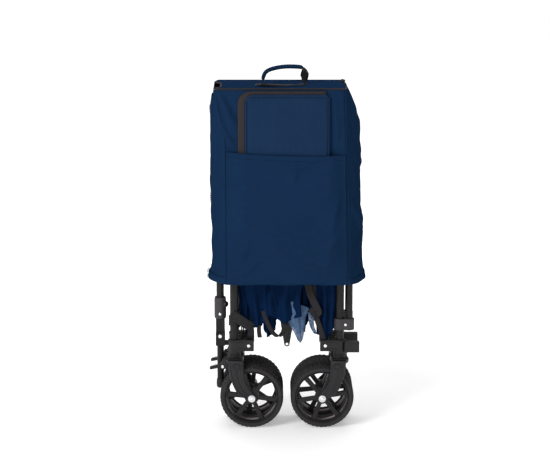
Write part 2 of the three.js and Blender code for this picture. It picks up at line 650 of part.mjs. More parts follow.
function coverTop() {
  const point = (z) => (u, v) => {
    const y = COVER_FRONT + (COVER_BACK - COVER_FRONT) * v;
    const right = coverHalf(true, y, 1);
    const left = HANDLE_X + GRIP_BAR / 2 + 2;
    return [left + (right - left) * u, y, z];
  };
  return sheet(point(COVER_TOP), point(COVER_TOP - CLOTH), 3, 8);
}

// The folded floor mat stands in the pocket on the cover's front.
const MAT_Y = COVER_FRONT - GAP;
const POCKET_Y = MAT_Y - MAT_THICK - GAP;
const MAT_TOP = COVER_TOP - MAT_BELOW_TOP;

// A flat plate joined to the cover below the mat and beside it.
function coverPocket() {
  const left = -FRONT_SEAM + 1;
  const right = REAR_SEAM - REAR_TAPER + 1;
  const zs = [COVER_HEM + 1, COVER_HEM + POCKET_HEIGHT];
  return box([left, right], [POCKET_Y - POCKET_THICK, POCKET_Y], zs);
}

function carryHandle() {
  const shape = new THREE.Shape();
  const half = CARRY_LENGTH / 2;
  const low = COVER_TOP + GAP;
  const high = low + CARRY_HEIGHT;
  shape.moveTo(CARRY_X - half, low);
  shape.lineTo(CARRY_X - half + 10, low);
  shape.quadraticCurveTo(CARRY_X - half + 4, high - 22, CARRY_X - half + 22, high - CARRY_GRIP - 3);
  shape.lineTo(CARRY_X + half - 16, high - CARRY_GRIP);
  shape.lineTo(CARRY_X + half - 8, low);
  shape.lineTo(CARRY_X + half, low);
  shape.lineTo(CARRY_X + half - 8 + CARRY_STRAP, high - CARRY_GRIP / 2);
  shape.lineTo(CARRY_X + half - 10, high);
  shape.lineTo(CARRY_X - half + 20, high - 3);
  shape.quadraticCurveTo(CARRY_X - half, high - 22, CARRY_X - half, low);
  shape.closePath();
  return plateY(shape, [CARRY_Y - CARRY_WIDTH / 2, CARRY_Y + CARRY_WIDTH / 2]);
}

add(wagon, "cover_front", coverFace(COVER_FRONT, COVER_FRONT + CLOTH), navyCloth);
add(wagon, "cover_back", coverFace(COVER_BACK, COVER_BACK - CLOTH), navyCloth);
add(wagon, "cover_left", coverSide(false), navyCloth);
add(wagon, "cover_right", coverSide(true), navyCloth);
add(wagon, "cover_top", coverTop(), navyCloth);
add(wagon, "cover_pocket", coverPocket(), navyCloth);
const matX = [-MAT_WIDTH / 2, MAT_WIDTH / 2];
const matZ = [MAT_TOP - MAT_HEIGHT, MAT_TOP];
add(wagon, "folded_mat", box(matX, [MAT_Y - MAT_THICK, MAT_Y], matZ), navyCloth);
add(wagon, "carry_handle", carryHandle(), navyCloth);

export default wagon;
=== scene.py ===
"""A four-way folding wagon with a pull handle, folded upright under its navy cover bag."""
import json
import math

import bmesh
import bpy
import numpy as np
from mathutils import Matrix, Vector, noise


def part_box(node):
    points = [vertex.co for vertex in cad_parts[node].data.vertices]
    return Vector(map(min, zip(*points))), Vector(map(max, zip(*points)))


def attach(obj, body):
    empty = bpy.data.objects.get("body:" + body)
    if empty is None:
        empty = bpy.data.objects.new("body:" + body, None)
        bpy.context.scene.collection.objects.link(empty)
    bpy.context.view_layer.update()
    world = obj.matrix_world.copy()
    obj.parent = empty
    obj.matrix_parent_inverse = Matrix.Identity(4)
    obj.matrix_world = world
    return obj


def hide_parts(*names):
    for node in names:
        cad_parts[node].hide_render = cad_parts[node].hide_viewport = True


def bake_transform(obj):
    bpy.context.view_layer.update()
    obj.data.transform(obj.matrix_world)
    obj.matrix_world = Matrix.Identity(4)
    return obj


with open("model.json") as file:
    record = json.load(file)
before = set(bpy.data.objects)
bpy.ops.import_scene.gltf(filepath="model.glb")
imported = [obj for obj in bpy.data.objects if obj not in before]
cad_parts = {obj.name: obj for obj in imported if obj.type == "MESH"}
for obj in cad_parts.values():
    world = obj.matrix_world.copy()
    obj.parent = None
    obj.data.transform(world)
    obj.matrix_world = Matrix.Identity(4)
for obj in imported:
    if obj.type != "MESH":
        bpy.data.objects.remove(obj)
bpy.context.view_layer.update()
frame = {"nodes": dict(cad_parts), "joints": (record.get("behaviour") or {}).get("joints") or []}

TAU = 2 * math.pi
UP = (0, 0, 1)
ACROSS = (0, 1, 0)
CORNERS = {"rear_near": (1, -1), "front_near": (-1, -1), "rear_far": (1, 1), "front_far": (-1, 1)}


# ---------------------------------------------------------------- places, from the CAD
def middle(node):
    low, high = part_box(node)
    return (low + high) / 2


def size(node):
    low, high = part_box(node)
    return high - low


AXLE = {c: middle(c + "_tyre") for c in CORNERS}
POST = {c: middle(c + "_post") for c in CORNERS}
WHEEL_R = size("rear_near_tyre").z / 2
TYRE_HALF = size("rear_near_tyre").y / 2
POST_R = size("rear_near_post").x / 2
POST_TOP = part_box("rear_near_post")[1].z
FORK_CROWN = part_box("rear_near_fork")[1].z - 0.032
PIVOT_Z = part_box("rear_near_end_bar")[0].z + 0.007
TOP_Z = middle("rear_near_sleeve").z
PIVOT_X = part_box("rear_near_sleeve")[0].x + 0.013
COVER_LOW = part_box("cover_front")[0].z
COVER_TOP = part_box("cover_top")[1].z
COVER_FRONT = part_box("cover_front")[0].y
COVER_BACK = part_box("cover_back")[1].y
COVER_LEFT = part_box("cover_left")[0].x
COVER_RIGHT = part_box("cover_right")[1].x
POCKET_LOW, POCKET_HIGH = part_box("cover_pocket")
MAT_LOW, MAT_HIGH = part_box("folded_mat")
HANDLE_X = middle("handle_tube").x
GRIP_LOW, GRIP_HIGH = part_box("handle_grip")
JOINTS = {j["name"]: j for j in frame["joints"]}


def joint_at(name):
    return Vector(JOINTS[name]["pos_m"])


# ---------------------------------------------------------------- materials
class Surface:
    """A Principled material with chains of colour mixing and bump, on UVs or object space."""

    def __init__(self, name, color, roughness, coords="Object", **sockets):
        self.material = bpy.data.materials.new(name)
        self.material.use_nodes = True
        self.nodes = self.material.node_tree.nodes
        self.links = self.material.node_tree.links
        self.shader = self.nodes["Principled BSDF"]
        self.coords = self.nodes.new("ShaderNodeTexCoord").outputs[coords]
        self.shader.inputs["Base Color"].default_value = (*color, 1)
        self.shader.inputs["Roughness"].default_value = roughness
        for label, value in sockets.items():
            self.shader.inputs[label.replace("_", " ")].default_value = value
        self.color = None
        self.base = color
        self.normal = None

    def node(self, kind, **inputs):
        made = self.nodes.new(kind)
        for label, value in inputs.items():
            socket = made.inputs[label.replace("_", " ")]
            if isinstance(value, bpy.types.NodeSocket):
                self.links.new(value, socket)
            else:
                socket.default_value = value
        return made

    def scaled(self, scale):
        mapping = self.node("ShaderNodeMapping", Vector=self.coords)
        mapping.inputs["Scale"].default_value = scale
        return mapping.outputs["Vector"]

    def noise(self, scale, detail=3.0, stretch=(1, 1, 1)):
        made = self.node("ShaderNodeTexNoise", Vector=self.scaled(stretch), Scale=scale, Detail=detail)
        return made.outputs["Fac"]

    def wave(self, scale, direction):
        made = self.node("ShaderNodeTexWave", Vector=self.coords, Scale=scale)
        made.bands_direction = direction
        return made.outputs["Fac"]

    def larger(self, a, b):
        made = self.nodes.new("ShaderNodeMath")
        made.operation = "MAXIMUM"
        self.links.new(a, made.inputs[0])
        self.links.new(b, made.inputs[1])
        return made.outputs[0]

    def ramp(self, value, low, high, a, b):
        made = self.node("ShaderNodeMapRange", Value=value, From_Min=low, From_Max=high, To_Min=a, To_Max=b)
        return made.outputs[0]

    def tint(self, factor, color):
        """Mixes another colour over the base where factor is 1."""
        mix = self.nodes.new("ShaderNodeMix")
        mix.data_type = "RGBA"
        self.links.new(factor, mix.inputs["Factor"])
        if self.color is None:
            mix.inputs["A"].default_value = (*self.base, 1)
        else:
            self.links.new(self.color, mix.inputs["A"])
        mix.inputs["B"].default_value = (*color, 1)
        self.color = mix.outputs["Result"]
        self.links.new(self.color, self.shader.inputs["Base Color"])
        return self

    def rough(self, value):
        self.links.new(value, self.shader.inputs["Roughness"])
        return self

    def bump(self, height, strength, distance):
        made = self.node("ShaderNodeBump", Strength=strength, Distance=distance, Height=height)
        if self.normal is not None:
            self.links.new(self.normal, made.inputs["Normal"])
        self.normal = made.outputs["Normal"]
        self.links.new(self.normal, self.shader.inputs["Normal"])
        return self


WAVE_PITCH = 3.2  # bands of a wave texture for each unit of length at scale 1


def shade(color, factor):
    return tuple(c * factor for c in color)


def cloth(name, color, thread=0.0009):
    """Plain woven cloth with slubs and faint clouds."""
    s = Surface(name, color, 0.82, "UV", Specular_IOR_Level=0.0)
    warp = s.wave(1 / thread / WAVE_PITCH, "X")
    weft = s.wave(1 / thread / WAVE_PITCH, "Y")
    weave = s.larger(warp, weft)
    slub = s.noise(260, 2, (1, 0.12, 1))
    cloud = s.noise(9, 4)
    s.tint(s.ramp(weave, 0.35, 1.0, 0.3, 0.0), shade(color, 0.62))
    s.tint(s.ramp(slub, 0.45, 0.75, 0.0, 0.22), shade(color, 1.5))
    s.tint(s.ramp(cloud, 0.42, 0.68, 0.0, 0.28), shade(color, 1.28))
    s.rough(s.ramp(cloud, 0.3, 0.7, 0.62, 0.8))
    s.bump(weave, 0.35, 0.0003)
    s.bump(s.noise(38, 3), 0.25, 0.0012)
    return s.material


def web_tape(name, color, rib=0.0016):
    """Ribbed webbing or binding tape."""
    s = Surface(name, color, 0.8, "UV", Sheen_Weight=0.03, Specular_IOR_Level=0.2)
    ribs = s.wave(1 / rib / WAVE_PITCH, "X")
    cross = s.wave(1 / rib / 2.0, "DIAGONAL")
    s.tint(s.ramp(ribs, 0.2, 0.9, 0.0, 0.55), shade(color, 2.0))
    s.tint(s.ramp(s.noise(30), 0.4, 0.7, 0.0, 0.3), shade(color, 1.6))
    s.bump(ribs, 0.5, 0.0005)
    s.bump(cross, 0.2, 0.0003)
    return s.material


def plastic(name, color, roughness, grain=900, grain_depth=0.00012):
    """Moulded plastic with a fine grain and paler wear."""
    s = Surface(name, color, roughness, Specular_IOR_Level=0.3)
    texture = s.noise(grain, 2)
    wear = s.noise(22, 5)
    s.tint(s.ramp(wear, 0.55, 0.8, 0.0, 0.35), shade(color, 1.9))
    s.rough(s.ramp(wear, 0.3, 0.75, roughness * 0.85, roughness * 1.2))
    s.bump(texture, 0.35, grain_depth)
    return s.material


def paint(name, color, roughness):
    """Powder coat with orange peel and scuffs."""
    s = Surface(name, color, roughness, Specular_IOR_Level=0.25, Coat_Weight=0.04, Coat_Roughness=0.25)
    orange_peel = s.noise(420, 2)
    scuff = s.noise(60, 6, (1, 1, 0.15))
    s.tint(s.ramp(scuff, 0.62, 0.8, 0.0, 0.4), shade(color, 2.6))
    s.rough(s.ramp(scuff, 0.35, 0.75, roughness * 0.85, roughness * 1.35))
    s.bump(orange_peel, 0.25, 0.00015)
    return s.material


def metal(name, color, roughness):
    s = Surface(name, color, roughness, Metallic=1.0)
    s.tint(s.ramp(s.noise(300, 4), 0.5, 0.8, 0.0, 0.4), shade(color, 0.6))
    s.rough(s.ramp(s.noise(140, 4), 0.3, 0.7, roughness * 0.7, roughness * 1.4))
    s.bump(s.noise(700, 2), 0.2, 0.0001)
    return s.material


def tyre_rubber(name, color):
    s = Surface(name, color, 0.78, Specular_IOR_Level=0.35)
    dust = s.noise(45, 5)
    s.tint(s.ramp(dust, 0.45, 0.75, 0.0, 0.35), (0.06, 0.054, 0.055))
    s.rough(s.ramp(dust, 0.3, 0.7, 0.68, 0.88))
    s.bump(s.noise(600, 3), 0.35, 0.0002)
    return s.material


def open_mesh(name, color):
    """Netting: a grid of threads with see-through gaps."""
    s = Surface(name, color, 0.7, "UV", Sheen_Weight=0.05)
    pitch = 0.0026
    across = s.wave(1 / pitch / WAVE_PITCH, "X")
    along = s.wave(1 / pitch / WAVE_PITCH, "Y")
    threads = s.larger(across, along)
    s.tint(s.ramp(threads, 0.3, 0.9, 0.0, 0.6), shade(color, 1.6))
    s.links.new(s.ramp(threads, 0.42, 0.5, 0.35, 1.0), s.shader.inputs["Alpha"])
    s.bump(threads, 0.5, 0.0004)
    return s.material


NAVY = (0.0062, 0.02, 0.052)
MAT = {
    "cover": cloth("navy_polyester", NAVY),
    "mat": cloth("mat_polyester", (0.0082, 0.0226, 0.0555)),
    "tub": cloth("tub_polyester", (0.003, 0.0125, 0.042)),
    "mesh": open_mesh("blue_netting", (0.035, 0.075, 0.15)),
    "web": web_tape("black_webbing", (0.011, 0.01, 0.011)),
    "bind": web_tape("black_binding", (0.019, 0.0145, 0.015), 0.001),
    "thread": cloth("navy_thread", (0.011, 0.03, 0.078), 0.0004),
    "paint": paint("black_powder_coat", (0.0052, 0.0046, 0.0056), 0.52),
    "bar": paint("black_bar_paint", (0.0062, 0.0055, 0.0066), 0.48),
    "cast": plastic("moulded_nylon", (0.0068, 0.0061, 0.0071), 0.48),
    "fork": plastic("fork_nylon", (0.011, 0.0095, 0.0112), 0.42, 700),
    # Grey nylon liner, its colour raised well above the nylon's own tone: painted light for the barrel's
    # lit inside.
    "barrel": plastic("liner_nylon_painted_light", (0.34, 0.29, 0.29), 0.5, 500),
    "rim": plastic("rim_nylon", (0.0095, 0.0085, 0.0098), 0.4, 500),
    "grey": plastic("clip_nylon", (0.032, 0.029, 0.032), 0.55),
    "grip": plastic("soft_grip", (0.008, 0.0074, 0.008), 0.75, 1200, 0.0003),
    "tyre": tyre_rubber("foam_rubber", (0.015, 0.0134, 0.0148)),
    "zinc": metal("zinc_plate", (0.8, 0.8, 0.82), 0.3),
    "spring": metal("spring_steel", (0.35, 0.35, 0.36), 0.35),
}


# ---------------------------------------------------------------- mesh helpers
def mesh_object(name, points, faces, material, uvs=None, smooth=35):
    mesh = bpy.data.meshes.new(name)
    mesh.from_pydata([tuple(p) for p in points], [], faces)
    mesh.materials.append(MAT[material])
    if uvs is not None:
        layer = mesh.uv_layers.new(name="UVMap")
        loops = np.zeros(len(mesh.loops), np.int32)
        mesh.loops.foreach_get("vertex_index", loops)
        layer.data.foreach_set("uv", np.asarray(uvs, np.float32)[loops].ravel())
    obj = bpy.data.objects.new(name, mesh)
    bpy.context.scene.collection.objects.link(obj)
    return smoothed(obj, smooth)


def smoothed(obj, angle=35):
    """Smooth shading, with edges sharper than the angle left crisp."""
    mesh = obj.data
    mesh.polygons.foreach_set("use_smooth", np.ones(len(mesh.polygons), bool))
    mesh.set_sharp_from_angle(angle=math.radians(angle))
    mesh.update()
    return obj


def grid_faces(rows, columns, wrap_rows=False, wrap_columns=False):
    faces = []
    for i in range(rows if wrap_rows else rows - 1):
        for j in range(columns if wrap_columns else columns - 1):
            a = i * columns + j
            b = ((i + 1) % rows) * columns + j
            c = ((i + 1) % rows) * columns + (j + 1) % columns
            d = i * columns + (j + 1) % columns
            faces.append((a, b, c, d))
    return faces


def grid_uvs(points):
    """UVs in metres, measured along the rows and columns of a (rows, columns, 3) array."""
    down = np.linalg.norm(np.diff(points, axis=0), axis=2)
    along = np.linalg.norm(np.diff(points, axis=1), axis=2)
    u = np.vstack([np.zeros((1, points.shape[1])), np.cumsum(down, axis=0)])
    v = np.hstack([np.zeros((points.shape[0], 1)), np.cumsum(along, axis=1)])
    return np.stack([u, v], axis=2).reshape(-1, 2)


def sheet_piece(name, points, material, thickness):
    """A closed sheet of cloth from a (rows, columns, 3) array of its middle surface."""
    points = np.asarray(points, float)
    faces = grid_faces(*points.shape[:2])
    obj = mesh_object(name, points.reshape(-1, 3), faces, material, grid_uvs(points), 60)
    solid = obj.modifiers.new("thickness", "SOLIDIFY")
    solid.thickness = thickness
    solid.offset = 0
    return obj


def lathe(name, profile, centre, axis, material, steps=48, smooth=35):
    """Turns a profile of (radius, height) about an axis; closes it on itself or on the axis."""
    profile = np.asarray(profile, float)
    closed = profile[0][0] > 1e-9
    rows = len(profile)
    turn = Vector(UP).rotation_difference(Vector(axis)).to_matrix()
    points = []
    uvs = []
    for r, h in profile:
        for k in range(steps):
            a = k * TAU / steps
            points.append(Vector(centre) + turn @ Vector((r * math.cos(a), r * math.sin(a), h)))
            uvs.append((a * max(profile[:, 0]), h + r))
    faces = grid_faces(rows, steps, wrap_rows=closed, wrap_columns=True)
    obj = mesh_object(name, points, faces, material, uvs, smooth)
    return cleaned(obj)


def cleaned(obj):
    """Merges doubled points, drops empty faces and turns the faces outwards."""
    bm = bmesh.new()
    bm.from_mesh(obj.data)
    bmesh.ops.remove_doubles(bm, verts=bm.verts, dist=1e-6)
    bmesh.ops.dissolve_degenerate(bm, edges=bm.edges, dist=1e-7)
    bmesh.ops.recalc_face_normals(bm, faces=bm.faces)
    bm.to_mesh(obj.data)
    bm.free()
    obj.data.update()
    return obj


def arc(centre, radius, start, stop, steps):
    """Points on an arc, in degrees."""
    angles = np.radians(np.linspace(start, stop, steps))
    return [(centre[0] + radius * math.cos(a), centre[1] + radius * math.sin(a)) for a in angles]


def curved(points, per_span=8):
    """A smooth Catmull-Rom line through a few points of any dimension."""
    p = np.asarray(points, float)
    p = np.vstack([2 * p[0] - p[1], p, 2 * p[-1] - p[-2]])
    line = []
    for i in range(1, len(p) - 2):
        for t in np.linspace(0, 1, per_span, endpoint=False):
            a, b, c, d = p[i - 1 : i + 3]
            line.append(0.5 * (2 * b + (c - a) * t + (2 * a - 5 * b + 4 * c - d) * t**2
                               + (3 * b - a - 3 * c + d) * t**3))
    line.append(p[-2])
    return np.array(line)


def plate(name, loops, span, plane, material, bevel=0.0008, steps=2):
    """A flat plate from closed outlines (the rest are holes), with rounded edges.
    plane XZ: outlines in x, z, span in y. plane YZ: outlines in y, z, span in x. plane XY: span in z."""
    curve = bpy.data.curves.new(name, "CURVE")
    curve.dimensions = "2D"
    curve.fill_mode = "BOTH"
    for loop in loops:
        spline = curve.splines.new("POLY")
        spline.points.add(len(loop) - 1)
        for point, (u, v) in zip(spline.points, loop):
            point.co = (u, v, 0, 1)
        spline.use_cyclic_u = True
    depth = abs(span[1] - span[0])
    curve.extrude = depth / 2 - bevel
    curve.bevel_depth = bevel
    curve.bevel_resolution = steps
    curve.offset = -bevel
    maker = bpy.data.objects.new(name, curve)
    bpy.context.scene.collection.objects.link(maker)
    evaluated = maker.evaluated_get(bpy.context.evaluated_depsgraph_get())
    mesh = bpy.data.meshes.new_from_object(evaluated)
    bpy.data.objects.remove(maker)
    bpy.data.curves.remove(curve)
    mid = (span[0] + span[1]) / 2
    turn = {
        "XZ": Matrix(((1, 0, 0, 0), (0, 0, -1, mid), (0, 1, 0, 0), (0, 0, 0, 1))),
        "YZ": Matrix(((0, 0, 1, mid), (1, 0, 0, 0), (0, 1, 0, 0), (0, 0, 0, 1))),
        "XY": Matrix.Translation((0, 0, mid)),
    }[plane]
    mesh.transform(turn)
    mesh.materials.clear()
    mesh.materials.append(MAT[material])
    obj = bpy.data.objects.new(name, mesh)
    bpy.context.scene.collection.objects.link(obj)
    return smoothed(cleaned(obj), 40)


def shifted(line, dx, dy, dz):
    """The same path, moved."""
    return [(x + dx, y + dy, z + dz) for x, y, z in line]


def tangents(path):
    """The unit directions along a path."""
    tangent = np.gradient(path, axis=0)
    return tangent / np.linalg.norm(tangent, axis=1)[:, None]


def tube(name, path, radius, material, sides=12, flat=1.0, up=UP, taper=None):
    """A round or flattened tube along a path, closed at both ends. flat squeezes it along up."""
    path = np.asarray(path, float)
    tangent = tangents(path)
    points = []
    uvs = []
    run = np.concatenate([[0], np.cumsum(np.linalg.norm(np.diff(path, axis=0), axis=1))])
    side = np.cross(tangent[0], up)
    if np.linalg.norm(side) < 1e-3:
        side = np.cross(tangent[0], ACROSS)
    for i, (p, t) in enumerate(zip(path, tangent)):
        side = np.cross(t, np.cross(side, t))
        side = side / np.linalg.norm(side)
        lift = np.cross(side, t)
        r = radius * (taper[i] if taper is not None else 1)
        for k in range(sides):
            a = k * TAU / sides
            points.append(p + side * r * math.cos(a) + lift * r * flat * math.sin(a))
            uvs.append((run[i], a * radius))
    faces = grid_faces(len(path), sides, wrap_columns=True)
    faces.append(tuple(reversed(range(sides))))
    faces.append(tuple((len(path) - 1) * sides + k for k in range(sides)))
    obj = mesh_object(name, points, faces, material, uvs, 50)
    return cleaned(obj)


def strap(name, path, width, material, across, thickness=0.0018):
    """A flat strap along a path; across is the direction of its width, or one for each point."""
    path = np.asarray(path, float)
    tangent = tangents(path)
    across = np.broadcast_to(np.asarray(across, float), path.shape)
    wide = across - tangent * (across * tangent).sum(1)[:, None]
    wide = wide / np.linalg.norm(wide, axis=1)[:, None]
    shares = np.linspace(-0.5, 0.5, 7)
    points = path[:, None, :] + wide[:, None, :] * (shares * width)[None, :, None]
    return sheet_piece(name, points, material, thickness)


def dome(name, at, axis, radius, height):
    """A rivet or bolt head: a low dome on a short rim."""
    rim = height * 0.35
    profile = [(0, 0), (radius, 0), (radius, rim)]
    for k in range(1, 7):
        a = k * math.pi / 12
        profile.append((radius * math.cos(a), rim + (height - rim) * math.sin(a)))
    profile[-1] = (0, height)
    return lathe(name, profile, at, axis, "zinc", 24, 50)


def joined(name, parts):
    """Joins meshes that share a material into one piece."""
    bm = bmesh.new()
    for part in parts:
        part.data.transform(part.matrix_world)
        bm.from_mesh(part.data)
    keep = parts[0]
    bm.to_mesh(keep.data)
    bm.free()
    keep.matrix_world = Matrix.Identity(4)
    for part in parts[1:]:
        bpy.data.objects.remove(part)
    keep.name = name
    keep.data.name = name
    return smoothed(keep, 40)


def put(obj, body, slot, *nodes):
    if nodes:
        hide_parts(*nodes)
    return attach(obj, body)


def repaint(node, material, bevel=0.0009):
    """Gives a CAD node its material and softly rounded edges."""
    obj = bpy.data.objects[node] if node in bpy.data.objects else frame["nodes"][node]
    obj.data.materials.clear()
    obj.data.materials.append(MAT[material])
    smoothed(obj, 40)
    if bevel:
        rounded = obj.modifiers.new("edges", "BEVEL")
        rounded.width = bevel
        rounded.segments = 2
        rounded.limit_method = "ANGLE"
        rounded.angle_limit = math.radians(40)
    return obj


# ---------------------------------------------------------------- wheels
def fillet(points, radius, steps=6):
    """A closed outline with its corners rounded; radius is one for all, or one for each corner."""
    p = np.asarray(points, float)
    out = []
    for i in range(len(p)):
        r = radius[i] if hasattr(radius, "__len__") else radius
        a, b, c = p[i - 1], p[i], p[(i + 1) % len(p)]
        u = (a - b) / np.linalg.norm(a - b)
        v = (c - b) / np.linalg.norm(c - b)
        angle = math.acos(max(-1, min(1, float(u @ v))))
        if r <= 0 or angle > math.radians(172):
            out.append(tuple(b))
            continue
        reach = min(r / math.tan(angle / 2), 0.48 * np.linalg.norm(a - b), 0.48 * np.linalg.norm(c - b))
        start, end = b + u * reach, b + v * reach
        for t in np.linspace(0, 1, steps):
            out.append(tuple((1 - t) ** 2 * start + 2 * t * (1 - t) * b + t * t * end))
    return out


def circle(u, v, radius, steps=64):
    return arc((u, v), radius, 0, 360 - 360 / steps, steps)


BLOCKS = 44
BLOCK_STEPS = 8
TREAD_DEPTH = 0.0038
TREAD_SLANT = 72


def tyre_profile():
    """Half section of the tyre, from rim seat to mid tread: (y, radius, share of groove)."""
    r = WHEEL_R
    h = TYRE_HALF
    return [
        (0.0, r - 0.0135, 0), (h - 0.005, r - 0.0135, 0), (h - 0.0022, r - 0.0128, 0),
        (h - 0.0008, r - 0.0116, 0), (h - 0.0002, r - 0.0096, 0), (h, r - 0.007, 0),
        (h - 0.0002, r - 0.0046, 0), (h - 0.001, r - 0.0027, 0.35), (h - 0.0028, r - 0.0012, 0.7),
        (h - 0.0052, r - 0.0004, 1), (h - 0.008, r, 1), (h - 0.0105, r, 1), (h - 0.011, r, -1),
        (h - 0.013, r, -1), (h - 0.0135, r, 1), (h - 0.0165, r, 1), (h - 0.0195, r, 1), (h - 0.0225, r, 1),
    ]


def tyre(corner):
    """A foam tyre with smooth side walls and a slanting block tread."""
    half = tyre_profile()
    section = [(-y, r, d) for y, r, d in half] + [(y, r, d) for y, r, d in reversed(half[1:])]
    steps = BLOCKS * BLOCK_STEPS
    centre = AXLE[corner]
    rows = []
    uvs = []
    for k in range(steps):
        a = k * TAU / steps
        row = []
        for i, (y, r, share) in enumerate(section):
            offset = 0.5 if i >= len(half) else 0.0
            phase = (k / BLOCK_STEPS + abs(y) * TREAD_SLANT + offset) % 1
            depth = TREAD_DEPTH * (share if share >= 0 and phase > 0.56 else 0)
            if share < 0:
                depth = TREAD_DEPTH * 0.85
            r = r - depth
            row.append((centre.x + r * math.cos(a), centre.y + y, centre.z + r * math.sin(a)))
            uvs.append((a * WHEEL_R, y + r))
        rows.append(row)
    points = np.array(rows)
    faces = grid_faces(steps, len(section), wrap_rows=True, wrap_columns=True)
    obj = mesh_object("tyre_" + corner, points.reshape(-1, 3), faces, "tyre", uvs, 32)
    return put(cleaned(obj), corner + "_wheel", "tyre", corner + "_tyre")


SPOKES = 6
TURN = {"rear_near": 50, "front_near": 7, "rear_far": 55, "front_far": 37}
RIM_R = WHEEL_R - 0.0138
HUB_R = 0.0145
WINDOW_INNER = 0.0185
WINDOW_OUTER = 0.0628
SPOKE_HALF = 0.0052


def spoke_windows(centre, turn):
    """The outlines of the gaps between the spokes."""
    windows = []
    for i in range(SPOKES):
        a0 = math.radians(-turn + i * 360 / SPOKES)
        a1 = a0 + TAU / SPOKES
        lead = math.asin((SPOKE_HALF + 0.001) / WINDOW_OUTER)
        near = math.asin(SPOKE_HALF / WINDOW_INNER)
        outside = arc((0, 0), WINDOW_OUTER, math.degrees(a0 + lead), math.degrees(a1 - lead), 9)
        inside = arc((0, 0), WINDOW_INNER, math.degrees(a1 - near), math.degrees(a0 + near), 4)
        radii = [0.0085] + [0] * 7 + [0.0085] + [0.003] + [0] * 2 + [0.003]
        rounded = fillet(outside + inside, radii, 8)
        windows.append([(centre.x + u, centre.z + v) for u, v in rounded])
    return windows


def rim(corner):
    """A moulded rim: spoked face, barrel, hub and ribs, with a pale grey liner inside the barrel, made
    paler still as painted light for the barrel's lit inside.
    """
    c = AXLE[corner]
    name = "rim_" + corner
    turn = TURN[corner]
    face = plate(name, [circle(c.x, c.z, RIM_R - 0.0012, 96)] + spoke_windows(c, turn),
                 (c.y - 0.0192, c.y - 0.0092), "XZ", "rim", 0.0018, 3)
    # The liner's pale colour is partly the nylon's own grey and partly painted light for the barrel's lit
    # inside.
    liner = [(RIM_R - 0.0018, -0.009), (RIM_R - 0.0018, 0.0215), (RIM_R - 0.0027, 0.0212),
             (RIM_R - 0.0027, -0.0088)]
    put(lathe("rim_liner_" + corner, liner, c, ACROSS, "barrel", 96, 30), corner + "_wheel", "rim_black")
    barrel = [(RIM_R, -0.0225), (RIM_R, 0.0225), (RIM_R - 0.0008, 0.0235), (RIM_R - 0.0022, 0.0235),
              (RIM_R - 0.0024, 0.022), (RIM_R - 0.002, 0.0), (RIM_R - 0.0024, -0.022),
              (RIM_R - 0.0022, -0.0235), (RIM_R - 0.0008, -0.0235)]
    ring = [(RIM_R - 0.0026, 0.006), (RIM_R - 0.0026, 0.0092), (RIM_R - 0.0072, 0.0086),
            (RIM_R - 0.0072, 0.0066)]
    parts = [face, lathe(name + "b", barrel, c, ACROSS, "rim", 96, 30),
             lathe(name + "c", ring, c, ACROSS, "rim", 96, 30)]
    hub = [(0.0044, -0.0246), (0.0095, -0.0246), (0.0105, -0.0236), (0.0108, -0.021),
           (HUB_R + 0.003, -0.0198), (HUB_R + 0.0035, -0.009), (HUB_R, -0.006), (HUB_R - 0.001, 0.0235),
           (HUB_R - 0.002, 0.0246), (0.0044, 0.0246)]
    parts.append(lathe(name + "h", hub, c, ACROSS, "rim", 48, 30))
    for i in range(SPOKES):
        a = math.radians(-turn + i * 360 / SPOKES)
        along = Vector((math.cos(a), 0, math.sin(a)))
        path = [c + along * r + Vector((0, -0.019, 0)) for r in np.linspace(0.016, 0.0625, 10)]
        parts.append(tube(name + "r" + str(i), path, 0.0016, "rim", 8, 0.8, ACROSS))
        web = [c + along * r + Vector((0, -0.006, 0)) for r in (0.0135, 0.03, 0.045, 0.0625)]
        parts.append(tube(name + "w" + str(i), web, 0.0026, "rim", 8, 2.0, ACROSS))
    return put(joined(name, parts), corner + "_wheel", "rim_black", corner + "_rim")


def hexagon(u, v, radius):
    return [(u + radius * math.cos(a), v + radius * math.sin(a)) for a in np.arange(6) * TAU / 6 + 0.3]


def axle(corner):
    """A zinc-plated axle bolt with its washer, hexagon head and crown."""
    c = AXLE[corner]
    side = math.copysign(1, c.y)
    low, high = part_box(corner + "_axle_bolt")
    outer = high.y if side > 0 else -low.y
    fork_face = outer - 0.0044
    name = "axle_" + corner
    out = (0, side, 0)
    base = Vector((c.x, 0, c.z))
    shank = [(0, -0.003), (0.0039, -0.003), (0.0039, 0.0655), (0, 0.0655)]
    parts = [lathe(name, shank, base + Vector((0, side * (fork_face - 0.065), 0)), out, "zinc", 32)]
    washer = [(0.0041, 0), (0.0088, 0), (0.0092, 0.0005), (0.0088, 0.0011), (0.0041, 0.0011)]
    parts.append(lathe(name + "w", washer, base + Vector((0, side * fork_face, 0)), out, "zinc", 40))
    span = sorted((side * (fork_face + 0.001), side * (fork_face + 0.0036)))
    parts.append(plate(name + "n", [hexagon(c.x, c.z, 0.0072)], span, "XZ", "zinc", 0.0006))
    parts.append(dome(name + "d", base + Vector((0, side * (fork_face + 0.0034), 0)), out, 0.0046, 0.0018))
    body = corner if c.x > 0 else corner + "_caster"
    return put(joined(name, parts), body, "zinc", corner + "_axle_bolt")


# ---------------------------------------------------------------- forks and brakes
def quadratic(a, b, c):
    a, b, c = (np.asarray(p, float) for p in (a, b, c))
    return [tuple((1 - t) ** 2 * a + 2 * t * (1 - t) * b + t * t * c) for t in np.linspace(0, 1, 14)]


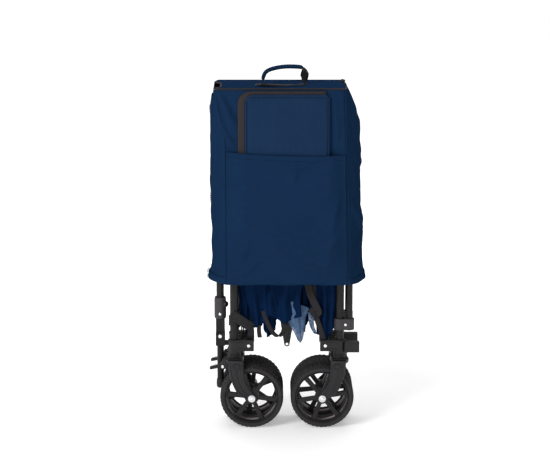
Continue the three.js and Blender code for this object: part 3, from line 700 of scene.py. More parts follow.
def fork_edges(corner):
    """The arm's two curved edges, (x, z), in the wheel's own plane; sx turns it to the front or rear."""
    sx = CORNERS[corner][0]
    ax, az = abs(AXLE[corner].x), AXLE[corner].z
    px = abs(POST[corner].x)
    top = FORK_CROWN + 0.01
    back = curved([(px + 0.016, top), (px + 0.0125, az + 0.062), (px + 0.006, az + 0.042),
                   (ax + 0.0405, az + 0.021), (ax + 0.029, az + 0.0085), (ax + 0.0135, az - 0.0015)], 5)
    front = curved([(ax - 0.0128, az + 0.0045), (ax - 0.006, az + 0.0125), (ax + 0.0056, az + 0.024),
                    (ax + 0.014, az + 0.04), (ax + 0.018, az + 0.058), (ax + 0.021, top)], 5)
    around = arc((ax, az), 0.0135, -6, -199, 22)
    return [[(sx * u, v) for u, v in line] for line in (back, around, front)]


def fork(corner):
    """A fork: two curved arms, crown and collar; the arm on the outer side carries ribs and a knob."""
    sx, sy = CORNERS[corner]
    name = "fork_" + corner
    back, around, front = fork_edges(corner)
    ax, az = AXLE[corner].x, AXLE[corner].z
    px, py = POST[corner].x, POST[corner].y
    half = (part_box(corner + "_fork")[1].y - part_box(corner + "_fork")[0].y) / 2
    hole = circle(ax, az, 0.0044, 24)
    parts = []
    for side in (-1, 1):
        outer = py + side * half
        span = sorted((outer - side * 0.0068, outer - side * 0.0006))
        outline = back + around[1:-1] + front
        parts.append(plate(name + "a" + str(side), [outline, hole], span, "XZ", "fork", 0.0019, 3))
        boss = [(0.0093, -0.004), (0.0128, -0.004), (0.0132, -0.001), (0.0124, 0.0004), (0.01, 0.0006),
                (0.0093, -0.0006)]
        parts.append(lathe(name + "b" + str(side), boss, (ax, outer, az), (0, side, 0), "fork", 40))
        if side != sy:
            continue
        mid = 0.5 * (np.array(back) + np.array(front[::-1]))
        for edge, share in ((back, 0.8), (back, 0.08), (front[::-1], 0.8)):
            line = (1 - share) * mid + share * np.array(edge)
            path = [(u, outer - side * 0.0006, v) for u, v in line[1:-1]]
            taper = np.interp(np.linspace(0, 1, len(path)), [0, 0.12, 0.8, 1], [0.6, 1, 1, 0.5])
            parts.append(tube(name + "r" + str(side) + str(len(parts)), path, 0.0026, "fork", 10,
                              0.75, ACROSS, taper))
        knob = [(0, 0.0012), (0.0052, 0.0012), (0.0062, 0.0026), (0.0086, 0.0028), (0.0096, 0.0012),
                (0.0096, -0.003), (0, -0.003)]
        at = (px - sx * 0.006, outer - side * 0.0006, FORK_CROWN - 0.006)
        parts.append(lathe(name + "k" + str(side), knob, at, (0, side, 0), "fork", 40))
    oval = [(px + 0.0235 * math.cos(a), py + (half - 0.0006) * math.sin(a))
            for a in np.arange(56) * TAU / 56]
    parts.append(plate(name + "c", [oval], (FORK_CROWN, FORK_CROWN + 0.01), "XY", "fork", 0.003, 4))
    collar = [(0, 0.009), (0.015, 0.009), (0.015, 0.0108), (0.0136, 0.0112), (0.0136, 0.0124),
              (0.0128, 0.0134), (0.0058, 0.0136), (0.0058, 0.0305), (0.005, 0.0318), (0, 0.0318)]
    parts.append(lathe(name + "s", collar, (px, py, FORK_CROWN), UP, "fork", 40))
    for side in (-1, 1):
        rib = quadratic((px - sx * 0.02, FORK_CROWN + 0.01), (px, FORK_CROWN + 0.0122),
                        (px + sx * 0.02, FORK_CROWN + 0.01))
        path = [(u, py + side * 0.021, v) for u, v in rib]
        parts.append(tube(name + "o" + str(side), path, 0.0022, "fork", 8, 0.8))
    if sx < 0:
        parts += pedal_ears(corner, name)
    body = corner if sx > 0 else corner + "_caster"
    return put(joined(name, parts), body, "fork_black", corner + "_fork")


def pedal_ears(corner, name):
    px, py = POST[corner].x, POST[corner].y
    x, z = joint_at(corner + "_brake").x, joint_at(corner + "_brake").z
    outline = fillet([(px - 0.012, FORK_CROWN + 0.0095), (px - 0.012, z - 0.005), (x + 0.004, z - 0.0065),
                      (x - 0.0062, z - 0.004), (x - 0.0062, z + 0.006), (x + 0.003, FORK_CROWN + 0.0095)],
                     0.003)
    parts = []
    for side in (-1, 1):
        span = sorted((py + side * 0.0055, py + side * 0.0085))
        parts.append(plate(name + "e" + str(side), [outline], span, "XZ", "fork", 0.0007))
    shank = [(0, -0.0088), (0.0029, -0.0088), (0.0029, 0.0088), (0, 0.0088)]
    parts.append(lathe(name + "p", shank, (x, py, z), ACROSS, "fork", 20))
    return parts


def brake(corner):
    """A brake pedal with a ribbed toe pad, its return spring and its zinc-plated bolts."""
    name = "brake_" + corner
    pivot = joint_at(corner + "_brake")
    x, z = pivot.x, pivot.z
    py = POST[corner].y
    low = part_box(corner + "_brake_pedal")[0]
    outline = [(x + 0.01, z - 0.0035), (x + 0.01, z + 0.0035), (x - 0.006, z + 0.0036),
               (low.x + 0.004, z - 0.0014), (low.x + 0.0006, z - 0.003), (low.x + 0.0003, z - 0.007),
               (low.x + 0.004, z - 0.0086), (x - 0.006, z - 0.0036)]
    parts = [plate(name, [fillet(outline, 0.0025), circle(x, z, 0.0032, 24)],
                   (py - 0.0048, py + 0.0048), "XZ", "cast", 0.001)]
    for k in range(6):
        at = low.x + 0.0035 + k * 0.003
        rise = z - 0.0014 + (at - low.x - 0.004) * 0.33
        path = [(at, py + s, rise + 0.0004) for s in (-0.0044, -0.002, 0.002, 0.0044)]
        parts.append(tube(name + "t" + str(k), path, 0.0009, "cast", 8, 0.8))
    obj = put(joined(name, parts), corner + "_pedal", "pedal_black", corner + "_brake_pedal")
    bolts = [dome("brake_bolts_" + corner, (x, py - 0.0084, z), (0, -1, 0), 0.0042, 0.0026),
             dome(name + "v", (x, py + 0.0084, z), ACROSS, 0.0042, 0.0026),
             dome(name + "y", (POST[corner].x - 0.0165, py - 0.0084, FORK_CROWN + 0.0015), (0, -1, 0),
                  0.0036, 0.0022)]
    put(joined("brake_bolts_" + corner, bolts), corner + "_caster", "zinc")
    coils = [(x + 0.004 * math.cos(a), py + 0.008 * (a / (5 * TAU) - 0.5), z + 0.004 * math.sin(a))
             for a in np.linspace(0, 5 * TAU, 90)]
    spring = tube("brake_spring_" + corner, coils, 0.0005, "spring", 8, 1, (0, 1, 0.1))
    put(spring, corner + "_pedal", "zinc")
    return obj


# ---------------------------------------------------------------- posts, brackets and bars
def rivet(name, at, axis, body, radius=0.0042, height=0.0018):
    put(dome(name, at, axis, radius, height), body, "zinc")


def post_cap(corner):
    p = POST[corner]
    cap = [(0, 0.0042), (0.0085, 0.0038), (POST_R - 0.0004, 0.0018), (POST_R + 0.0009, 0.0),
           (POST_R + 0.0009, -0.01), (POST_R + 0.0002, -0.011), (POST_R + 0.0002, -0.001), (0, -0.001)]
    put(lathe("post_cap_" + corner, cap, (p.x, p.y, POST_TOP), UP, "cast", 40), corner, "casting_black")


def bracket_trim(corner):
    """Moulded bands round the housing, the recessed panel of the arm and its rivets."""
    sx, sy = CORNERS[corner]
    p = POST[corner]
    name = "bracket_trim_" + corner
    housing_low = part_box(corner + "_bracket")[0].z
    r = 0.015
    parts = []
    for k, z in enumerate((0.0028, 0.007, 0.0405)):
        band = [(r - 0.0006, z - 0.0016), (r + 0.001, z - 0.0012), (r + 0.001, z + 0.0012),
                (r - 0.0006, z + 0.0016)]
        parts.append(lathe(name + str(k), band, (p.x, p.y, housing_low), UP, "cast", 48))
    arm = PIVOT_X + 0.006
    face = p.y + sy * 0.0152
    for k, z in enumerate((-0.0085, 0.0085)):
        path = [(sx * x, face, PIVOT_Z + z) for x in np.linspace(arm - 0.004, abs(p.x) - 0.008, 6)]
        parts.append(tube(name + "l" + str(k), path, 0.0014, "cast", 8, 0.7, ACROSS))
    put(joined(name, parts), corner, "casting_black")
    rivet("bracket_rivet_" + corner, (sx * PIVOT_X, face, PIVOT_Z), (0, sy, 0), corner)
    rivet("end_rivet_" + corner, (sx * (abs(p.x) - 0.0255), p.y - sy * 0.012, PIVOT_Z), (-sx, 0, 0), corner,
          0.004, 0.0004)


def sleeve_trim(corner):
    sx, sy = CORNERS[corner]
    p = POST[corner]
    name = "sleeve_trim_" + corner
    low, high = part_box(corner + "_sleeve")
    parts = []
    for k, z in enumerate((low.z + 0.0025, high.z - 0.0025)):
        band = [(0.0142, z - 0.0018), (0.0152, z - 0.0013), (0.0152, z + 0.0013), (0.0142, z + 0.0018)]
        parts.append(lathe(name + str(k), band, (p.x, p.y, 0), UP, "cast", 48))
    put(joined(name, parts), corner + "_sleeve", "casting_black")
    face = p.y + sy * 0.0152
    rivet("sleeve_rivet_" + corner, (sx * PIVOT_X, face, TOP_Z), (0, sy, 0), corner + "_sleeve")


def frame_parts():
    for corner, (_, sy) in CORNERS.items():
        repaint(corner + "_post", "paint", 0.0004)
        repaint(corner + "_bracket", "cast", 0.0014)
        repaint(corner + "_sleeve", "cast", 0.0014)
        for bar in ("_lower_bar", "_upper_bar", "_end_bar"):
            repaint(corner + bar, "bar", 0.0005)
        post_cap(corner)
        bracket_trim(corner)
        sleeve_trim(corner)
        for bar in ("lower", "upper"):
            low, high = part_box(corner + "_" + bar + "_bar")
            z = TOP_Z if bar == "lower" else PIVOT_Z
            lean = (low.y + high.y) / 2
            outer = corner.startswith("rear") == (bar == "lower")
            face = lean + sy * (0.0022 if outer else -0.0022)
            rivet("bar_rivet_" + bar + "_" + corner, (0, face, z), (0, sy if outer else -sy, 0),
                  corner + "_" + bar + "_bar", 0.0036, 0.0011)
    for side in ("near", "far"):
        repaint("canopy_pole_" + side, "paint", 0.0006)
        pole_clip(side)


def pole_clip(side):
    """The grey clip that holds a stowed canopy pole to its rear post."""
    corner = "rear_" + side
    p = POST[corner]
    node_low, node_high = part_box("canopy_pole_" + side)
    pole_x = node_high.x - 0.011
    z0 = node_low.z + 0.002
    hull = arc((p.x, p.y), 0.0147, 60, 300, 22) + arc((pole_x, p.y), 0.0124, -90, 90, 16)
    holes = [circle(p.x, p.y, 0.0112, 32), circle(pole_x, p.y, 0.0084, 28)]
    shell = plate("pole_clip_" + side, [hull] + holes, (z0 - 0.0006, z0 + 0.0286), "XY", "grey", 0.0012)
    put(shell, corner, "casting_black")
    sy = CORNERS[corner][1]
    screw = dome("pole_clip_screw_" + side, ((p.x + pole_x) / 2 + 0.002, p.y + sy * 0.0133, z0 + 0.014),
                 (0, sy, 0), 0.0034, 0.0016)
    put(screw, corner, "zinc")


# ---------------------------------------------------------------- pull handle
def rounded_rect(u0, u1, v0, v1, r):
    corners = ((u1 - r, v0 + r), (u1 - r, v1 - r), (u0 + r, v1 - r), (u0 + r, v0 + r))
    return [p for k, at in enumerate(corners) for p in arc(at, r, 90 * k - 90, 90 * k, 12)]


def handle():
    """The pull handle: D grip on a rod, tube with collar, sleeve, locking knob and foot."""
    repaint("handle_stem", "paint", 0.0012)
    repaint("handle_tube", "paint", 0.0012)
    x = HANDLE_X
    wide = GRIP_HIGH.y
    top = GRIP_HIGH.z
    low = top - 0.052
    outer = rounded_rect(-wide, wide, low, top, 0.0255)
    inner = rounded_rect(-wide + 0.0155, wide - 0.0155, low + 0.0155, top - 0.0155, 0.0104)
    grip = plate("pull_grip", [outer, inner], (x - 0.0078, x + 0.0078), "YZ", "grip", 0.0062, 6)
    slide = [(0.0058, 0), (0.0074, 0), (0.0074, low - GRIP_LOW.z + 0.003),
             (0.0058, low - GRIP_LOW.z + 0.003)]
    rod = lathe("pull_rod", slide, (x, 0, GRIP_LOW.z), UP, "paint", 40)
    put(grip, "handle_extension", "grip_black", "handle_grip")
    put(rod, "handle_extension", "frame_black")
    ribs = []
    for k in range(9):
        y = (k - 4) * 0.0066
        ring = [(x + 0.008 * math.cos(a), y, top - 0.0077 + 0.008 * math.sin(a))
                for a in np.linspace(0, TAU, 25)[:-1]]
        ribs.append(loop_tube("grip_rib" + str(k), ring, 0.0007, "grip"))
    put(joined("pull_grip_ribs", ribs), "handle_extension", "grip_black")
    collar_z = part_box("handle_tube")[1].z
    collar = [(0.0079, -0.016), (0.0107, -0.016), (0.0115, -0.013), (0.0115, -0.003), (0.0104, 0.001),
              (0.0079, 0.001)]
    put(lathe("handle_collar", collar, (x, 0, collar_z), UP, "cast", 40), "handle", "casting_black")
    pivot = joint_at("handle_swing")
    for side, name in ((-1, "near"), (1, "far")):
        rivet("handle_rivet_" + name, (x, side * 0.0138, pivot.z), (0, side, 0), "handle_mount", 0.005,
              0.0022)
    sleeve_z = pivot.z + 0.05
    shell = [(0.0101, -0.004), (0.0142, -0.004), (0.015, 0.000), (0.015, 0.043), (0.0138, 0.05),
             (0.0101, 0.05)]
    put(lathe("handle_sleeve", shell, (x, 0, sleeve_z), UP, "grey", 40), "handle", "casting_black")
    rivet("handle_sleeve_rivet", (x, -0.0146, sleeve_z + 0.008), (0, -1, 0), "handle", 0.0036, 0.0016)
    knob = [(0, 0.0235), (0.0058, 0.023), (0.0075, 0.0205), (0.0075, 0.0165), (0.005, 0.0145),
            (0.0046, 0.008), (0, 0.008)]
    put(lathe("handle_knob", knob, (x, 0, sleeve_z + 0.034), (0.75, -0.66, 0), "cast", 32), "handle",
        "casting_black")
    foot_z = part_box("handle_stem")[0].z
    foot = [(0, -0.0012), (0.0085, -0.001), (0.0104, 0.0015), (0.0108, 0.008), (0.0104, 0.019),
            (0.0096, 0.022), (0, 0.022)]
    put(lathe("handle_foot", foot, (x, 0, foot_z), UP, "cast", 36), "handle_mount", "casting_black")


def loop_tube(name, ring, radius, material):
    """A closed ring of round wire through the given points."""
    ring = np.asarray(ring, float)
    count = len(ring)
    centre = ring.mean(0)
    points = []
    for i in range(count):
        t = ring[(i + 1) % count] - ring[i - 1]
        t = t / np.linalg.norm(t)
        out = ring[i] - centre
        out = out - t * (out @ t)
        out = out / np.linalg.norm(out)
        up = np.cross(t, out)
        for k in range(8):
            a = k * TAU / 8
            points.append(ring[i] + radius * (out * math.cos(a) + up * math.sin(a)))
    return mesh_object(name, points, grid_faces(count, 8, True, True), material, None, 60)


# ---------------------------------------------------------------- cover bag
FRONT_SEAM = 0.15
REAR_SEAM = 0.156
SEAM_TAPER = 0.019
HEIGHT = COVER_TOP - COVER_LOW
MIDDLE_Y = (COVER_FRONT + COVER_BACK) / 2
REACH_Y = (COVER_BACK - COVER_FRONT) / 2
GRIP_SLOT = COVER_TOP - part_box("cover_left")[1].z
TOP_FLARE = 0.022
WALL_ROWS = 96
SIDE_COLUMNS = 44
FACE_COLUMNS = 72


def ramp_up(t):
    """A smooth step from 0 at t = 0 to 1 at t = 1."""
    t = min(1.0, max(0.0, t))
    return t * t * (3 - 2 * t)


def seam_at(rear, v):
    """Half width at the near and far seams; the front end's seams flare out at the top."""
    return REAR_SEAM - SEAM_TAPER * v if rear else FRONT_SEAM + TOP_FLARE * ramp_up((v - 0.7) / 0.3)


def belly_at(y):
    """How far out the cover's side stands at depth y: 0 at its seams, 1 half way."""
    return float(np.clip(1 - ((y - MIDDLE_Y) / REACH_Y) ** 2, 0, 1))


def flare_at(rear, y, z):
    """How far the hem stands out beyond the side panel at height z."""
    rise = min(1.0, max(0.0, (COVER_LOW + 0.06 - z) / 0.06))
    return (0.006 if rear else 0.009) * rise**2 * belly_at(y)


def half_width(rear, y, v):
    """The cover's half width at depth y and height share v, a little inside the CAD panels."""
    belly = belly_at(y)
    seam = seam_at(rear, v)
    full = COVER_RIGHT - 0.007 if rear else -COVER_LEFT - 0.009
    bulge = full - (REAR_SEAM if rear else seam)
    shrink = 0.78 if rear else 0.2
    return seam + bulge * (1 - shrink * v**9) * belly


def slot_at(y):
    """How far the left panel's top edge is cut down where the pull grip comes through."""
    return GRIP_SLOT * ramp_up((0.066 - abs(y)) / 0.014)


def crease(x, y, z, seed):
    """Soft cloth relief, from about -1 to 1, with upright folds and a few slanting ones."""
    p = Vector((x * 7 + seed, y * 7, z * 3.2))
    fold = noise.noise(p) + 0.5 * noise.noise(p * 2.3)
    slant = Vector((x * 16 + z * 9 + seed, y * 12, z * 16 - x * 7))
    ridge = 1 - abs(2 * noise.noise(slant))
    return fold + 0.55 * ridge * noise.noise(Vector((x * 5, y * 5, z * 5 + seed)))


def folds(x, z, lines):
    """Height of sharp folds at x, z; each line is (x, z, x, z, width, height) from end to end."""
    total = 0.0
    for x0, z0, x1, z1, width, height in lines:
        dx, dz = x1 - x0, z1 - z0
        t = min(1.0, max(0.0, ((x - x0) * dx + (z - z0) * dz) / (dx * dx + dz * dz)))
        away = math.hypot(x - x0 - t * dx, z - z0 - t * dz) / width
        if away < 3:
            total += height * math.exp(-away * away) * math.sin(math.pi * (0.12 + 0.76 * t))
    return total


def scattered(seed, count, start, stop, height):
    """Folds strewn over a panel from start to stop along its width, the same every time."""
    dice = np.random.RandomState(seed)
    lines = []
    for _ in range(count):
        x = dice.uniform(start, stop)
        z = dice.uniform(COVER_LOW + 0.05, COVER_TOP - 0.06)
        lean = dice.uniform(-0.9, 0.9)
        length = dice.uniform(0.035, 0.1)
        rise = height * dice.uniform(0.5, 1.0) * (1 if dice.uniform() > 0.3 else -1)
        lines.append((x - length * math.sin(lean), z - length * math.cos(lean), x + length * math.sin(lean),
                      z + length * math.cos(lean), dice.uniform(0.006, 0.011), rise))
    return lines


FRONT_FOLDS = [(-0.166, 0.852, -0.128, 0.778, 0.008, 0.007), (-0.15, 0.808, -0.13, 0.752, 0.0055, 0.005),
               (-0.158, 0.775, -0.134, 0.728, 0.006, 0.004), (0.112, 0.842, 0.122, 0.722, 0.0075, 0.0036),
               (0.13, 0.8, 0.112, 0.716, 0.005, 0.0024)]
POCKET_FOLDS = [(0.025, 0.68, 0.012, 0.636, 0.006, 0.0036), (0.06, 0.692, 0.032, 0.674, 0.0055, 0.0032),
                (-0.096, 0.476, -0.124, 0.432, 0.0065, 0.0048), (-0.06, 0.45, -0.112, 0.402, 0.006, 0.0036),
                (0.126, 0.604, 0.108, 0.515, 0.0075, 0.0048), (0.104, 0.455, 0.095, 0.41, 0.006, 0.0044),
                (0.12, 0.5, 0.085, 0.44, 0.007, 0.0036), (-0.13, 0.56, -0.085, 0.52, 0.008, 0.003)]


def relief(points, normal, depth, seed, hold=0.03, lines=(), across=0):
    """Pushes a grid of cloth points along a normal, less near the grid's own edges."""
    rows, columns = points.shape[:2]
    out = points.copy()
    for i in range(rows):
        for j in range(columns):
            near = min(i, rows - 1 - i) / rows, min(j, columns - 1 - j) / columns
            ease = min(1.0, near[0] / hold) * min(1.0, near[1] / hold)
            x, y, z = points[i, j]
            push = ease * (depth * crease(x, y, z, seed) + folds(points[i, j, across], z, lines))
            out[i, j] += np.asarray(normal[i, j] if np.ndim(normal) == 3 else normal) * push
    return out


def panel(name, grid, node, thickness=0.0012):
    """A cloth panel of the cover that takes a CAD node's place."""
    obj = put(sheet_piece(name, grid, "cover", thickness), "cover", "cover_navy", node)


def wall_grid(rear):
    """A side panel's points: rows up the height, columns from the near seam to the far one."""
    grid = np.zeros((WALL_ROWS, SIDE_COLUMNS, 3))
    for i, share in enumerate(np.linspace(0, 1, WALL_ROWS)):
        for j, y in enumerate(np.linspace(COVER_FRONT, COVER_BACK, SIDE_COLUMNS)):
            top = COVER_TOP - 0.001 - (0 if rear else slot_at(y))
            z = COVER_LOW + (top - COVER_LOW) * share
            x = half_width(rear, y, (z - COVER_LOW) / HEIGHT)
            grid[i, j] = ((x if rear else -x), y, z)
    return grid


def face_grid(y):
    """The front or back panel's points, from the left seam to the right one."""
    grid = np.zeros((WALL_ROWS, FACE_COLUMNS, 3))
    for i, z in enumerate(np.linspace(COVER_LOW, COVER_TOP, WALL_ROWS)):
        v = (z - COVER_LOW) / HEIGHT
        left, right = -seam_at(False, v), seam_at(True, v)
        for j, x in enumerate(np.linspace(left, right, FACE_COLUMNS)):
            grid[i, j] = (x, y, z)
    return grid


def side_normals(grid, rear):
    """Outward normals at a side panel's points."""
    along = np.gradient(grid, axis=1)
    up = np.gradient(grid, axis=0)
    n = np.cross(along, up)
    n = n / np.linalg.norm(n, axis=2)[:, :, None]
    outward = np.sign((n[:, :, 0] * (1 if rear else -1)).mean())
    return n * outward


def hem_lift(grid, rear):
    """The side panel's hem flares out half way between its seams."""
    out = grid.copy()
    for row in out:
        for point in row:
            point[0] += (1 if rear else -1) * flare_at(rear, point[1], point[2])
    return out


STITCH = 0.00045


def stitches(name, path, normal, pitch=0.0042):
    """A row of raised thread stitches along a path."""
    path = np.asarray(path, float)
    run = np.concatenate([[0], np.cumsum(np.linalg.norm(np.diff(path, axis=0), axis=1))])
    spots = np.arange(pitch / 2, run[-1], pitch)
    points, faces = [], []
    normal = np.asarray(normal, float)
    for s in spots:
        ends = [np.array([np.interp(q, run, path[:, k]) for k in range(3)])
                for q in (s - pitch * 0.36, s + pitch * 0.36)]
        along = ends[1] - ends[0]
        along = along / np.linalg.norm(along)
        n = normal if normal.ndim == 1 else normal[min(len(normal) - 1, int(np.searchsorted(run, s)))]
        side = np.cross(along, n)
        side = side / np.linalg.norm(side)
        lift = np.cross(side, along)
        base = len(points)
        mid = (ends[0] + ends[1]) / 2
        points += [ends[0], mid + side * STITCH, mid + lift * STITCH, mid - side * STITCH,
                   mid - lift * STITCH]
        points.append(ends[1])
        for k in range(4):
            a, b = base + 1 + k, base + 1 + (k + 1) % 4
            faces += [(base, a, b), (base + 5, b, a)]
    obj = mesh_object(name, points, faces, "thread", None, 60)
    put(obj, "cover", "cover_navy")


def piping(name, path, radius=0.0017, material="bind", slot="webbing_black"):
    put(tube(name, path, radius, material, 10), "cover", slot)


def cover_walls():
    left = wall_grid(False)
    left = relief(left, side_normals(left, False), 0.0036, 3.1, 0.05, scattered(5, 22, -0.07, 0.09, 0.003),
                  1)
    left = hem_lift(left, False)
    right = wall_grid(True)
    right = relief(right, side_normals(right, True), 0.005, 8.7, 0.05,
                   scattered(11, 30, -0.07, 0.09, 0.0042), 1)
    right = hem_lift(right, True)
    front = relief(face_grid(COVER_FRONT), (0, -1, 0), 0.0034, 5.5)
    for row in front:
        for point in row:
            x, _, z = point
            near_seam = ramp_up((x + 0.165) / 0.02) * ramp_up((-0.1 - x) / 0.012)
            upper = ramp_up((z - POCKET_HIGH.z - 0.005) / 0.03) * ramp_up((COVER_TOP - 0.008 - z) / 0.02)
            point[1] -= 0.0016 * near_seam * upper * math.sin((1.6 * x + z) * TAU / 0.062 + 0.6)
            point[1] -= folds(x, z, FRONT_FOLDS)
    back = relief(face_grid(COVER_BACK), ACROSS, 0.003, 12.4, 0.04, scattered(23, 36, -0.13, 0.13, 0.003))
    panel("cover_bag_front", front, "cover_front")
    panel("cover_bag_back", back, "cover_back")
    panel("cover_bag_left", left, "cover_left")
    panel("cover_bag_right", right, "cover_right")
    top_panel()
    return left


def top_panel():
    """The top: it sags between the post tops and is cut away where the pull grip comes through."""
    rows, columns = 40, 60
    grid = np.zeros((rows, columns, 3))
    for i, y in enumerate(np.linspace(COVER_FRONT, COVER_BACK, rows)):
        right = half_width(True, y, 1)
        left = half_width(False, y, 1)
        left -= 0.022 * ramp_up((0.072 - abs(y)) / 0.036)
        for j, x in enumerate(np.linspace(-left, right, columns)):
            u = j / (columns - 1)
            v = i / (rows - 1)
            sag = 0.006 * math.sin(math.pi * u) * math.sin(math.pi * v)
            ease = min(1, 8 * min(u, 1 - u)) * min(1, 6 * min(v, 1 - v))
            sag += 0.003 * crease(x * 1.4, y * 1.4, 0.3, 21.0) * ease
            grid[i, j] = (x, y, COVER_TOP - 0.0012 - sag)
    panel("cover_bag_top", grid, "cover_top")
    edge = [tuple(p) for p in grid[0]]
    strip = strap("cover_binding_front", shifted(edge, 0, -0.0008, 0.0006), 0.0105, "web", (0, -0.8, 0.6),
                  0.0018)
    put(strip, "cover", "webbing_black")
    for name, line, dx, dy in (("back", grid[-1], 0, 0.0006), ("right", grid[:, -1], 0.0006, 0),
                               ("left", grid[:, 0], -0.0004, 0)):
        piping("cover_piping_" + name + "_top", shifted(line, dx, dy, 0), 0.0018)
    stitches("top_stitches_front", shifted(edge[2:-2], 0, 0.007, 0.0012), UP)


def cover_seams():
    for rear, side in ((False, "left"), (True, "right")):
        for y, end in ((COVER_FRONT, "near"), (COVER_BACK, "far")):
            sx, sy = (1 if rear else -1), (-1 if y < 0 else 1)
            path = [(sx * (half_width(rear, y, v) + 0.0008), y + sy * 0.0008, COVER_LOW + v * HEIGHT)
                    for v in np.linspace(0, 0.995, 70)]
            piping("cover_seam_" + side + "_" + end, path, 0.0013, "cover", "cover_navy")
            inner = shifted(path, -sx * 0.006, sy * 0.0016, 0)
            stitches("seam_stitches_" + side + "_" + end, inner, (0, sy, 0))


def hem_ring(z, out):
    """A path round the cover at height z, pushed out from the cloth."""
    v = (z - COVER_LOW) / HEIGHT
    path = []
    ys = np.linspace(COVER_FRONT, COVER_BACK, 40)
    xs = np.linspace(-half_width(False, COVER_FRONT, v), half_width(True, COVER_FRONT, v), 60)
    path += [(x, COVER_FRONT - out, z) for x in xs]
    path += [(half_width(True, y, v) + flare_at(True, y, z) + out, y, z) for y in ys[1:]]
    path += [(x, COVER_BACK + out, z) for x in xs[::-1][1:]]
    path += [(-half_width(False, y, v) - flare_at(False, y, z) - out, y, z) for y in ys[::-1][1:]]
    path.append(path[0])
    return path


def cover_hem():
    rows = []
    for z in np.linspace(COVER_LOW - 0.0012, COVER_LOW + 0.015, 7):
        rows.append([(x, y, z + 0.0007 * math.sin(x * 60 + y * 80)) for x, y, z in hem_ring(z, 0.0014)])
    put(sheet_piece("cover_hem", rows, "cover", 0.0014), "cover", "cover_navy")
    for k, z in enumerate((COVER_LOW + 0.0115, COVER_LOW + 0.014)):
        path = hem_ring(z, 0.0024)
        centre = np.array([0.0, MIDDLE_Y, z])
        out = np.array(path) - centre
        out = out / np.linalg.norm(out, axis=1)[:, None]
        stitches("hem_stitches_" + str(k), path, out)


def zip_line(wall):
    """A long zip down the cover's left side panel, with its tapes, teeth and pull."""
    mid = SIDE_COLUMNS // 2 + 5
    count = int(WALL_ROWS * 0.94)
    tape_grid = wall[:count, mid - 2 : mid + 3] + np.array([-0.0013, 0, 0])
    y0 = wall[0, mid, 1]
    line = shifted(wall[:count, mid], -0.0019, 0, 0)
    tape = sheet_piece("zip_tape", tape_grid, "web", 0.001)
    put(tape, "cover", "webbing_black")
    run = np.arange(COVER_LOW + 0.004, line[-1][2] - 0.001, 0.0028)
    xs = np.interp(run, [p[2] for p in line], [p[0] for p in line])
    points, faces = [], []
    for k, (x, z) in enumerate(zip(xs, run)):
        y = y0 + (0.0012 if k % 2 else -0.0012)
        base = len(points)
        for dx in (-0.0018, 0.0002):
            for dy, dz in ((-0.002, -0.0009), (0.002, -0.0009), (0.0016, 0.0009), (-0.0016, 0.0009)):
                points.append((x + dx, y + dy, z + dz))
        faces += [(base, base + 1, base + 2, base + 3), (base + 7, base + 6, base + 5, base + 4)]
        for e in range(4):
            f = (e + 1) % 4
            faces.append((base + e, base + 4 + e, base + 4 + f, base + f))
    teeth = cleaned(mesh_object("zip_teeth", points, faces, "web", None, 30))
    put(teeth, "cover", "webbing_black")
    x, _, z = line[0]
    slider = plate("zip_slider",
                   [fillet([(y0 - 0.005, z + 0.002), (y0 + 0.005, z + 0.002), (y0 + 0.004, z + 0.014),
                                          (y0 - 0.004, z + 0.014)], 0.002)], (x - 0.005, x - 0.0012), "YZ",
                   "zinc", 0.0007)
    put(slider, "cover", "zinc")
    tab = fillet([(y0 - 0.0028, z + 0.009), (y0 + 0.0028, z + 0.009), (y0 + 0.0042, z - 0.014),
                  (y0 - 0.0042, z - 0.014)], 0.002)
    hole = circle(y0, z - 0.0095, 0.0016, 16)
    pull = plate("zip_pull", [tab, hole], (x - 0.0072, x - 0.0054), "YZ", "cast", 0.0005)
    put(pull, "cover", "webbing_black")


# ---------------------------------------------------------------- pocket, mat and carry handle
def pocket():
    """The front pocket: sewn at its sides and hem, full over the mat, its top edge a little slack."""
    rows, columns = 78, 84
    low, high = POCKET_LOW.z, POCKET_HIGH.z
    left, right = -FRONT_SEAM + 0.0012, REAR_SEAM - SEAM_TAPER + 0.001
    grid = np.zeros((rows, columns, 3))
    for i, z in enumerate(np.linspace(low, high, rows)):
        edge = REAR_SEAM - SEAM_TAPER * (z - COVER_LOW) / HEIGHT
        r = min(right + 0.6 * max(0.0, edge - right), edge)
        for j, x in enumerate(np.linspace(left, r, columns)):
            u = min((x - left) / 0.05, (r - x) / 0.04, 1.0)
            w = min(max(z - low, 0) / 0.075, 1.0)
            full = (u * u * (3 - 2 * u)) * (w * w * (3 - 2 * w))
            depth = 0.0016 + 0.0126 * full
            ease = min(1, 5 * u) * min(1, w * 4)
            depth += 0.003 * (0.35 + crease(x * 0.9, 0.2, z * 0.8, 33.0)) * ease
            depth += 0.0016 * math.sin(x * 24 + 1.1) * ease * ((z - low) / (high - low)) ** 4
            depth += folds(x, z, POCKET_FOLDS) * ease
            dip = 0.0035 * math.sin(math.pi * (x - left) / (r - left)) * ((z - low) / (high - low)) ** 10
            grid[i, j] = (x, COVER_FRONT - depth,
                          z - dip + 0.004 * (0.5 - (x - left) / (r - left)) * 2
                          * ((z - low) / (high - low)) ** 6)
    panel("front_pocket", grid, "cover_pocket", 0.0014)
    top = shifted(grid[-1], 0, -0.0012, -0.0005)
    band = [shifted(top, 0, -0.0002, -d) for d in np.linspace(0.0, 0.013, 5)]
    put(sheet_piece("pocket_hem", band, "cover", 0.0013), "cover", "cover_navy")
    for k, d in enumerate((0.0025, 0.0108)):
        stitches("pocket_stitches_" + str(k), shifted(top, 0, -0.0012, -d), (0, -1, 0))


